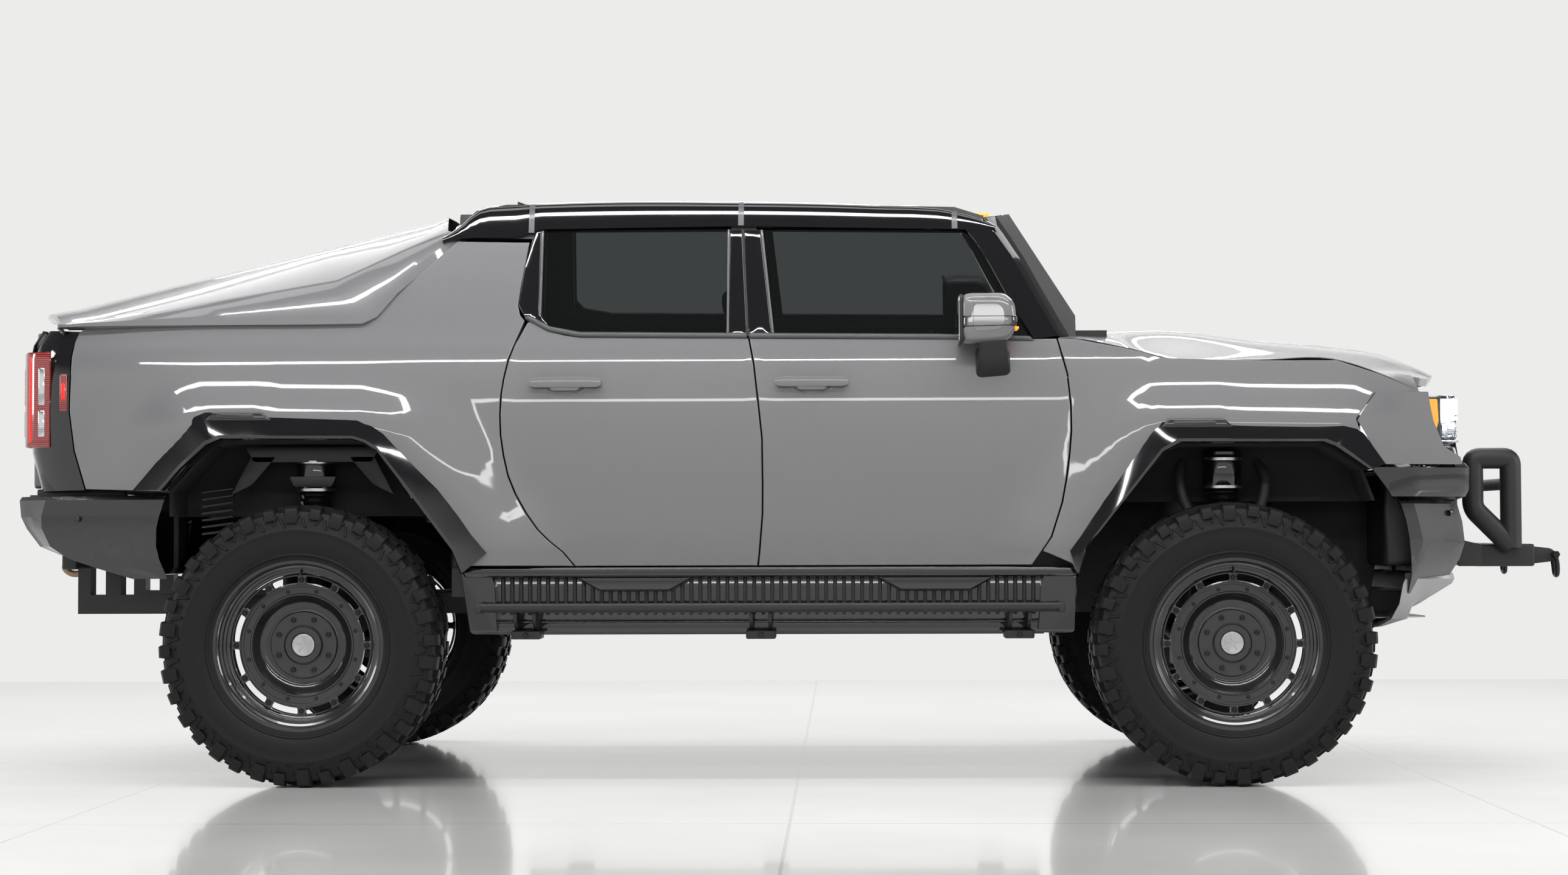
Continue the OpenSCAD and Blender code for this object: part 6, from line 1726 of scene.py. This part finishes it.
# ---- Mirrors and door handles ----
# Each mirror has a painted cap with a black band round its middle, on a black arm from the door.
# Handles are painted bars on two feet over a shallow scoop, with a lip under the middle for fingers.
mirror_x = middle + 0.8275
glass_mat = worn_material("mirror_silver", (0.85, 0.87, 0.88), 0.02, metallic=1.0, dust=0.0, variation=0.01,
    peel=0.0)
cap_rows = []
for y, grow in ((-1.025, 0.72), (-1.030, 0.84), (-1.045, 0.95), (-1.075, 1.0), (-1.13, 1.0), (-1.18, 0.97),
        (-1.20, 0.90), (-1.208, 0.78), (-1.210, 0.55)):
    ring = round_corners([(-0.105, -0.095), (0.075, -0.080), (0.108, -0.03), (0.098, 0.06), (0.06, 0.095),
        (-0.105, 0.095)], 0.04)
    cap_rows.append([(mirror_x + x * grow - 0.004, y, 1.716 + z * grow) for x, z in ring])
cap = loft("mirror_cap", cap_rows, 0.003, True, angle=50)
lid_in = smooth_plate("mirror_end", [(x, z) for x, _, z in cap_rows[0]], -1.026, -1.030, 0.001, 1)
lid_out = smooth_plate("mirror_end", [(x, z) for x, _, z in cap_rows[-1]], -1.205, -1.2095, 0.001, 1)
band = loft("mirror_band", [[(mirror_x + x * g - 0.004, y, 1.716 + z * g) for x, z in round_corners([(-0.104,
    -0.04), (0.100, -0.035), (0.108, -0.012), (0.104, 0.008), (-0.104, 0.008)], 0.012)] for y, g in ((-1.024,
    0.8), (-1.04, 0.985), (-1.075, 1.03), (-1.18, 1.005), (-1.203, 0.93), (-1.2115, 0.8))], 0.002, True,
    angle=50)
arm_rows = []
for y, dx, z, w, h in ((-1.000, 0.02, 1.555, 0.070, 0.066), (-1.04, 0.02, 1.560, 0.064, 0.056),
        (-1.085, 0.018, 1.585, 0.055, 0.040), (-1.12, 0.014, 1.622, 0.052, 0.030),
        (-1.14, 0.010, 1.66, 0.05, 0.03)):
    ring = round_corners([(-w, -h), (w, -h * 0.8), (w * 0.9, h), (-w, h)], 0.025)
    arm_rows.append([(mirror_x + dx + x, y, z + t) for x, t in ring])
mirror_parts = [with_material(m, paint) for m in (cap, lid_in, lid_out)]
mirror_parts += [with_material(band, gloss_black), with_material(loft("mirror_arm", arm_rows, 0.003, True,
    angle=50), satin_black)]
put(mirror_parts, glass_mat, smooth_plate("mirror_glass", round_corners([(-1.200, 1.632), (-1.042, 1.628),
    (-1.040, 1.800), (-1.196, 1.798)], 0.02), mirror_x - 0.1145, mirror_x - 0.1095, 0.002, 2, 0, "x"))
put(mirror_parts, satin_black, smooth_plate("mirror_rim", round_corners([(-1.206, 1.625), (-1.036, 1.622),
    (-1.034, 1.806), (-1.202, 1.804)], 0.022), mirror_x - 0.112, mirror_x - 0.10, 0.003, 2, 0, "x"))
put(mirror_parts, led_amber, smooth_box("repeater", (mirror_x + 0.09, -1.19, 1.675),
    (mirror_x + 0.106, -1.08, 1.684), 0.003, 2))
place_pair("mirror", merged("mirror", mirror_parts), paint, ("door_front_right", "door_front_left"),
    "body_paint", (("mirror_right",), ("mirror_left",)))

for end, xc in (("front", 0.172), ("rear", -0.745)):
    cx = middle + xc
    skin_y = -float(side_half(np.array(cx), np.array(1.49)))
    handle = []
    outline = round_corners([(cx - 0.137, 1.481), (cx - 0.118, 1.474), (cx + 0.118, 1.474),
        (cx + 0.137, 1.481), (cx + 0.134, 1.506), (cx + 0.10, 1.512), (cx - 0.10, 1.512),
        (cx - 0.134, 1.506)], 0.012)
    put(handle, paint, smooth_plate("handle_bar", outline, skin_y - 0.018, skin_y - 0.041, 0.009, 4))
    for s in (-1, 1):
        put(handle, paint, smooth_plate("handle_foot", round_corners([(cx + s * 0.085, 1.478),
            (cx + s * 0.134, 1.480), (cx + s * 0.132, 1.507), (cx + s * 0.085, 1.509)], 0.01), skin_y + 0.004,
            skin_y - 0.030, 0.004, 2))
    scoop = pressed_panel("scoop", round_corners([(cx - 0.078, 1.452), (cx + 0.078, 1.452),
        (cx + 0.082, 1.505), (cx - 0.082, 1.505)], 0.022), lambda x, z, cx=cx: np.stack([x,
        -side_half(x,
        z) - 0.002 + 0.010 * smooth_step(1 - (((x - cx) / 0.075) ** 2 + ((z - 1.478) / 0.03) ** 2)), z], -1),
        0.012, 0.002, 0.004)
    put(handle, paint, scoop)
    lip = smooth_plate("handle_lip", round_corners([(cx - 0.048, 1.462), (cx + 0.048, 1.462),
        (cx + 0.058, 1.478), (cx - 0.058, 1.478)], 0.008), skin_y - 0.012, skin_y - 0.036, 0.005, 3)
    put(handle, paint, lip)
    place_pair("handle_" + end, merged("handle_" + end, handle), paint,
        ("door_%s_right" % end, "door_%s_left" % end), "body_paint")

# ---- Doors inside ----
# Behind each outer skin is a pressed inner frame, painted, with a soft trim panel clipped on the
# cabin side, which carries an armrest, a pull and a speaker.
trim_soft = worn_material("trim_dark", (0.022, 0.022, 0.024), 0.65, dust=0.0, variation=0.1, peel=0.4,
    peel_scale=1400.0)
trim_tan = worn_material("trim_grey_fabric", (0.070, 0.068, 0.065), 0.8, dust=0.0, variation=0.1, peel=0.5,
    peel_scale=1800.0)


def side_inset(lift):
    return lambda x, z: np.stack([x, -np.minimum(side_half(x, z), half_body - 0.02) + lift, z], -1)


for end, outline, arm_x in (("front", door_front_line, (0.05, 0.62)),
        ("rear", door_rear_line, (-0.62, -0.22))):
    frame_line = set_in(clean(outline), 0.016)
    trim_line = [p for p in set_in(clean(outline), 0.045)]
    parts = [with_material(pressed_panel("door_frame", frame_line, side_inset(0.019), 0.09, 0.004, 0.070),
        paint)]
    panel = pressed_panel("door_trim", trim_line, side_inset(0.094), 0.07, 0.008, 0.012)
    panel.flip_normals()
    back = pressed_panel("door_back", frame_line, side_inset(0.088), 0.09, 0.002, 0.003)
    back.flip_normals()
    parts += [with_material(panel, trim_soft), with_material(back, paint)]
    y = -(half_body - 0.105)
    ax0, ax1 = middle + arm_x[0], middle + arm_x[1]
    put(parts, trim_tan, smooth_plate("armrest", [(ax0, 1.285), (ax1, 1.30), (ax1 + 0.03, 1.33),
        (ax1 - 0.05, 1.345), (ax0, 1.335), (ax0 - 0.03, 1.31)], y, y + 0.065, 0.016, 4))
    put(parts, trim_tan, smooth_plate("insert", [(ax0 - 0.02, 1.39), (ax1 + 0.06, 1.40), (ax1 + 0.10, 1.52),
        (ax0 - 0.04, 1.54)], y, y + 0.012, 0.006, 3, 0.02))
    put(parts, bright_mat, pipe("pull", [(ax1 - 0.02, y, 1.36), (ax1 + 0.01, y + 0.035, 1.40),
        (ax1 + 0.03, y + 0.035, 1.46), (ax1 + 0.03, y, 1.50)], 0.010, 12, 0.02))
    grille_ring = moved_mesh(spin_mesh("speaker", [(0.0005, 0), (0.078, 0), (0.086, 0.004), (0.086, 0.010),
        (0.078, 0.012), (0.0005, 0.009)], 40), (ax1 - 0.06, y, 1.02))
    put(parts, satin_black, grille_ring)
    place_pair("door_inner_" + end, merged("door_inner_" + end, parts), paint,
        ("door_%s_right" % end, "door_%s_left" % end), "body_paint", (("door_%s_right" % end,),
        ("door_%s_left" % end,)))

# ---- Seats ----
# Foam cushions under sewn covers with piped seams, on moulded shells: two front chairs and a bench
# for three, each with its own head restraint on two steel posts.
seat_cloth = worn_material("seat_cover", (0.060, 0.058, 0.057), 0.72, dust=0.0, variation=0.15, scale=14.0,
    peel=0.55, peel_scale=1500.0)
seat_edge = worn_material("seat_piping", (0.30, 0.29, 0.28), 0.6, dust=0.0, variation=0.1, peel=0.3,
    peel_scale=900.0)


def cushion(name, centre_at, half, lean, seams=(), across=1, square=0.32):
    """A crowned closed cushion: a rounded block, fuller in the middle and pulled in at its seams."""
    points, faces = [], []
    nu, nv = 56 * across, 20
    power = lambda t: math.copysign(abs(t) ** square, t)
    for i in range(nv + 1):
        v = -math.pi / 2 + math.pi * i / nv
        for k in range(nu):
            u = 2 * math.pi * k / nu
            waist = power(math.cos(v))
            a, b, c = waist * power(math.cos(u)), waist * power(math.sin(u)), power(math.sin(v))
            swell = 1 + 0.10 * (1 - a * a) * (1 - b * b) if abs(c) > 0.5 else 1.0
            pinch = sum(math.exp(-((a - s) / 0.035) ** 2) for s in seams)
            pinch += sum(math.exp(-((b - s) / 0.02) ** 2) for s in ([-0.34, 0.34] if across > 1 else []))
            bolster = 0.22 * max(0.0,
                (abs(b) - 0.62) / 0.38) ** 1.5 if across == 1 and c > 0 and square < 0.34 else 0.0
            points.append((half[0] * a, half[1] * b, half[2] * (c * swell * (1 - 0.10 * min(pinch,
                1.0)) + bolster)))
    for i in range(nv):
        for k in range(nu):
            j = (k + 1) % nu
            faces.append((i * nu + k, i * nu + j, (i + 1) * nu + j, (i + 1) * nu + k))
    mesh = tidy_mesh(name, points, faces, 60)
    ring = [(half[0] * power(math.cos(t)) * 1.004, half[1] * power(math.sin(t)) * 1.004,
        0.0) for t in np.linspace(0, 2 * math.pi, 65)]
    piping = pipe(name + "_piping", ring, 0.0035, 8)
    mesh = merged(name, [with_material(mesh, seat_cloth), with_material(piping, seat_edge)])
    return moved_mesh(mesh, centre_at, Matrix.Rotation(math.radians(lean), 3, "Y"))


def add_cushion(name, mesh):
    piece = place(name, mesh, seat_cloth, "chassis", "seat_cover")


shells = []
for side, y in (("right", -0.445), ("left", 0.445)):
    add_cushion("seat_cushion_" + side, cushion("seat_base", (middle + 0.262, y, 1.160),
        (0.262, 0.250, 0.078), -5, (-0.45, 0.0, 0.45)))
    add_cushion("seat_back_" + side, cushion("seat_back", (middle - 0.050, y, 1.430), (0.265, 0.240, 0.066),
        73, (-0.5, -0.1, 0.3, 0.65)))
    add_cushion("head_restraint_" + side, cushion("head_rest", (middle - 0.118, y, 1.742),
        (0.092, 0.140, 0.050), 78, (0.0,), 1, 0.45))
    for dy in (-0.05, 0.05):
        put(shells, bright_mat, pipe("post", [(middle - 0.105, y + dy, 1.60), (middle - 0.118, y + dy, 1.70)],
            0.006, 12))
    shells.append(smooth_plate("seat_shell", [(middle + 0.02, 0.80), (middle + 0.46, 0.80),
        (middle + 0.50, 1.06), (middle + 0.47, 1.105), (middle - 0.01, 1.09)], y - 0.235, y + 0.235, 0.02, 3))
    shells.append(smooth_plate("back_shell", [(middle + 0.010, 1.10), (middle - 0.100, 1.10),
        (middle - 0.155, 1.40), (middle - 0.178, 1.63), (middle - 0.120, 1.655), (middle - 0.085, 1.42)],
        y - 0.225, y + 0.225, 0.018, 3))
    for dy in (-0.19, 0.19):
        put(shells, powder_black, smooth_box("seat_rail", (middle + 0.0, y + dy - 0.02, 0.737),
            (middle + 0.50, y + dy + 0.02, 0.80), 0.006, 2))
add_cushion("bench_cushion", cushion("bench_base", (middle - 0.635, 0, 1.160), (0.255, 0.685, 0.078), -5,
    (-0.45, 0.1), 2))
add_cushion("bench_back", cushion("bench_back", (middle - 0.945, 0, 1.430), (0.265, 0.685, 0.066), 73,
    (-0.45, 0.05, 0.5), 2))
for k, y in enumerate((-0.45, 0.0, 0.45)):
    add_cushion("bench_restraint_%d" % (k + 1), cushion("head_rest", (middle - 1.012, y, 1.725),
        (0.070, 0.120, 0.045), 78, (0.0,), 1, 0.45))
shells.append(smooth_plate("bench_shell", [(middle - 0.88, 0.738), (middle - 0.45, 0.738),
    (middle - 0.43, 1.06), (middle - 0.45, 1.105), (middle - 0.90, 1.09)], -0.685, 0.685, 0.02, 3))
shells.append(smooth_plate("bench_back_shell", [(middle - 0.90, 1.10), (middle - 0.99, 1.10),
    (middle - 1.045, 1.40), (middle - 1.06, 1.62), (middle - 1.01, 1.65), (middle - 0.98, 1.42)], -0.68, 0.68,
    0.014, 3))
shells = [m if m.materials else with_material(m, trim_soft) for m in shells]
place("seat_shells", merged("seat_shells", shells), trim_soft, "chassis", "trim_dark", ("seats",))

# ---- Dashboard ----
# A padded moulding across the cab with two glass screens, slotted air outlets and a wide console.
# The rim of the steering wheel is wrapped and has three spokes.
dash_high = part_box("dashboard")[1]
dx = dash_high[0]
profile = round_corners([(dx - 0.006, 1.235), (dx - 0.006, 1.618), (dx - 0.115, 1.622), (dx - 0.285, 1.560),
    (dx - 0.298, 1.500), (dx - 0.262, 1.44), (dx - 0.275, 1.40), (dx - 0.205, 1.245)], 0.03)
dash = [with_material(smooth_plate("dash_body", profile, -0.805, 0.805, 0.012, 3), trim_soft)]
face = lambda y0, y1, z0, z1, mat, depth=0.012: with_material(moved_mesh(smooth_box("dash_face",
    (-depth, y0, z0), (0.0, y1, z1), 0.004, 2), (dx - 0.296, 0, 0)), mat)
dash += [face(-0.14, 0.20, 1.42, 1.555, gloss_black, 0.018), face(0.26, 0.56, 1.455, 1.56, gloss_black,
    0.018)]
screen_glow = lit_material("screen_glow", (0.05, 0.10, 0.16), 0.5, (0.01, 0.012, 0.015), 12.0)
dash += [with_material(smooth_box("screen", (dx - 0.3165, -0.128, 1.432), (dx - 0.3145, 0.188, 1.543), 0.001,
    1), screen_glow), with_material(smooth_box("screen", (dx - 0.3165, 0.27, 1.465),
    (dx - 0.3145, 0.55, 1.55), 0.001, 1), screen_glow)]
for y in (-0.72, -0.28, 0.66):
    dash.append(face(y - 0.075, y + 0.075, 1.475, 1.535, gloss_black))
    for k in range(4):
        put(dash, satin_black, smooth_box("outlet_slat", (dx - 0.314, y - 0.068, 1.483 + k * 0.0125),
            (dx - 0.300, y + 0.068, 1.487 + k * 0.0125), 0.001, 1))
dash.append(face(-0.66, -0.20, 1.30, 1.40, trim_tan, 0.0))
console = round_corners([(middle - 0.055, 0.738), (dx - 0.255, 0.738), (dx - 0.21, 1.22),
    (middle + 0.42, 1.07), (middle + 0.35, 1.085), (middle - 0.03, 1.085), (middle - 0.055, 1.05)], 0.025)
put(dash, trim_soft, smooth_plate("console", console, -0.148, 0.148, 0.014, 3))
put(dash, trim_tan, smooth_box("console_pad", (middle - 0.04, -0.135, 1.080), (middle + 0.20, 0.135, 1.102),
    0.014, 4))
for y in (-0.06, 0.06):
    put(dash, bright_mat, moved_mesh(spin_mesh("cup", [(0.036, 0), (0.042, 0), (0.042, 0.006), (0.038, 0.008),
        (0.036, 0.004)], 32), (middle + 0.28, y, 1.083), Matrix.Rotation(math.pi / 2, 3, "X")))
put(dash, bright_mat, moved_mesh(spin_mesh("knob", [(0.0005, 0), (0.028, 0), (0.026, 0.022), (0.022, 0.026),
    (0.0005, 0.026)], 32), (middle + 0.38, 0.0, 1.082), Matrix.Rotation(math.pi / 2, 3, "X")))
hub = Vector((dx - 0.385, 0.40, 1.44))
tilt = Matrix.Rotation(math.radians(70), 3, "Y")
wheel_ring = pipe("wheel_ring", [(0.180 * math.cos(t), 0.186 * math.sin(t), 0) for t in np.linspace(0,
    2 * math.pi, 49)], 0.0155, 16)
spokes = [pipe("spoke", [(0.04 * math.cos(t), 0.04 * math.sin(t), 0.006),
    (0.172 * math.cos(t), 0.176 * math.sin(t), 0)], 0.013, 12) for t in (0.0, math.pi / 2, -math.pi / 2)]
boss_pad = smooth_plate("horn_pad", round_corners([(-0.05, -0.065), (0.055, -0.055), (0.055, 0.055),
    (-0.05, 0.065)], 0.02), -0.012, 0.026, 0.010, 3, 0, "z")
for m, mat in [(wheel_ring, trim_soft), (boss_pad, trim_soft)] + [(s, satin_black) for s in spokes]:
    put(dash, mat, moved_mesh(m, hub, tilt))
put(dash, satin_black, pipe("column", [hub, hub + Vector((0.18, 0, -0.055))], 0.032, 20))
for s in (-1, 1):
    put(dash, satin_black, pipe("stalk", [hub + Vector((0.04, 0, -0.01)),
        hub + Vector((0.04, s * 0.15, 0.03))], 0.006, 10))
for y in (0.34, 0.46):
    put(dash, bright_mat, smooth_plate("pedal", [(dx - 0.19, 0.87), (dx - 0.145, 1.00), (dx - 0.135, 0.996),
        (dx - 0.18, 0.866)], y - 0.03, y + 0.03, 0.004, 2))
place("dashboard_detail", merged("dashboard_detail", dash), trim_soft, "chassis", "trim_dark", ("dashboard",))
inner_mirror = smooth_plate("inner_mirror", round_corners([(-0.12, 1.985), (0.12, 1.985), (0.125, 2.045),
    (-0.125, 2.045)], 0.02), middle + 0.835, middle + 0.858, 0.008, 3, 0, "x")
place("inside_mirror", merged("inside_mirror", [with_material(inner_mirror, satin_black),
    with_material(pipe("mirror_stem", [(middle + 0.855, 0, 2.03), (middle + 0.905, 0, 2.065)], 0.008, 12),
    satin_black)]), satin_black, "chassis", "trim_dark")
carpet = worn_material("carpet", (0.030, 0.029, 0.028), 0.95, dust=0.05, variation=0.1, scale=20.0, peel=1.0,
    peel_scale=900.0)
mats = [with_material(smooth_plate("floor_mat", round_corners([(middle + x0, s * 0.20),
    (middle + x1, s * 0.20), (middle + x1, s * 0.74), (middle + x0, s * 0.74)], 0.05), 0.7355, 0.746, 0.004,
    2, 0, "z"), carpet) for s in (-1, 1) for x0, x1 in ((0.48, 0.86), (-0.36, -0.22))]
place("floor_mats", merged("floor_mats", mats), carpet, "chassis", "trim_dark")
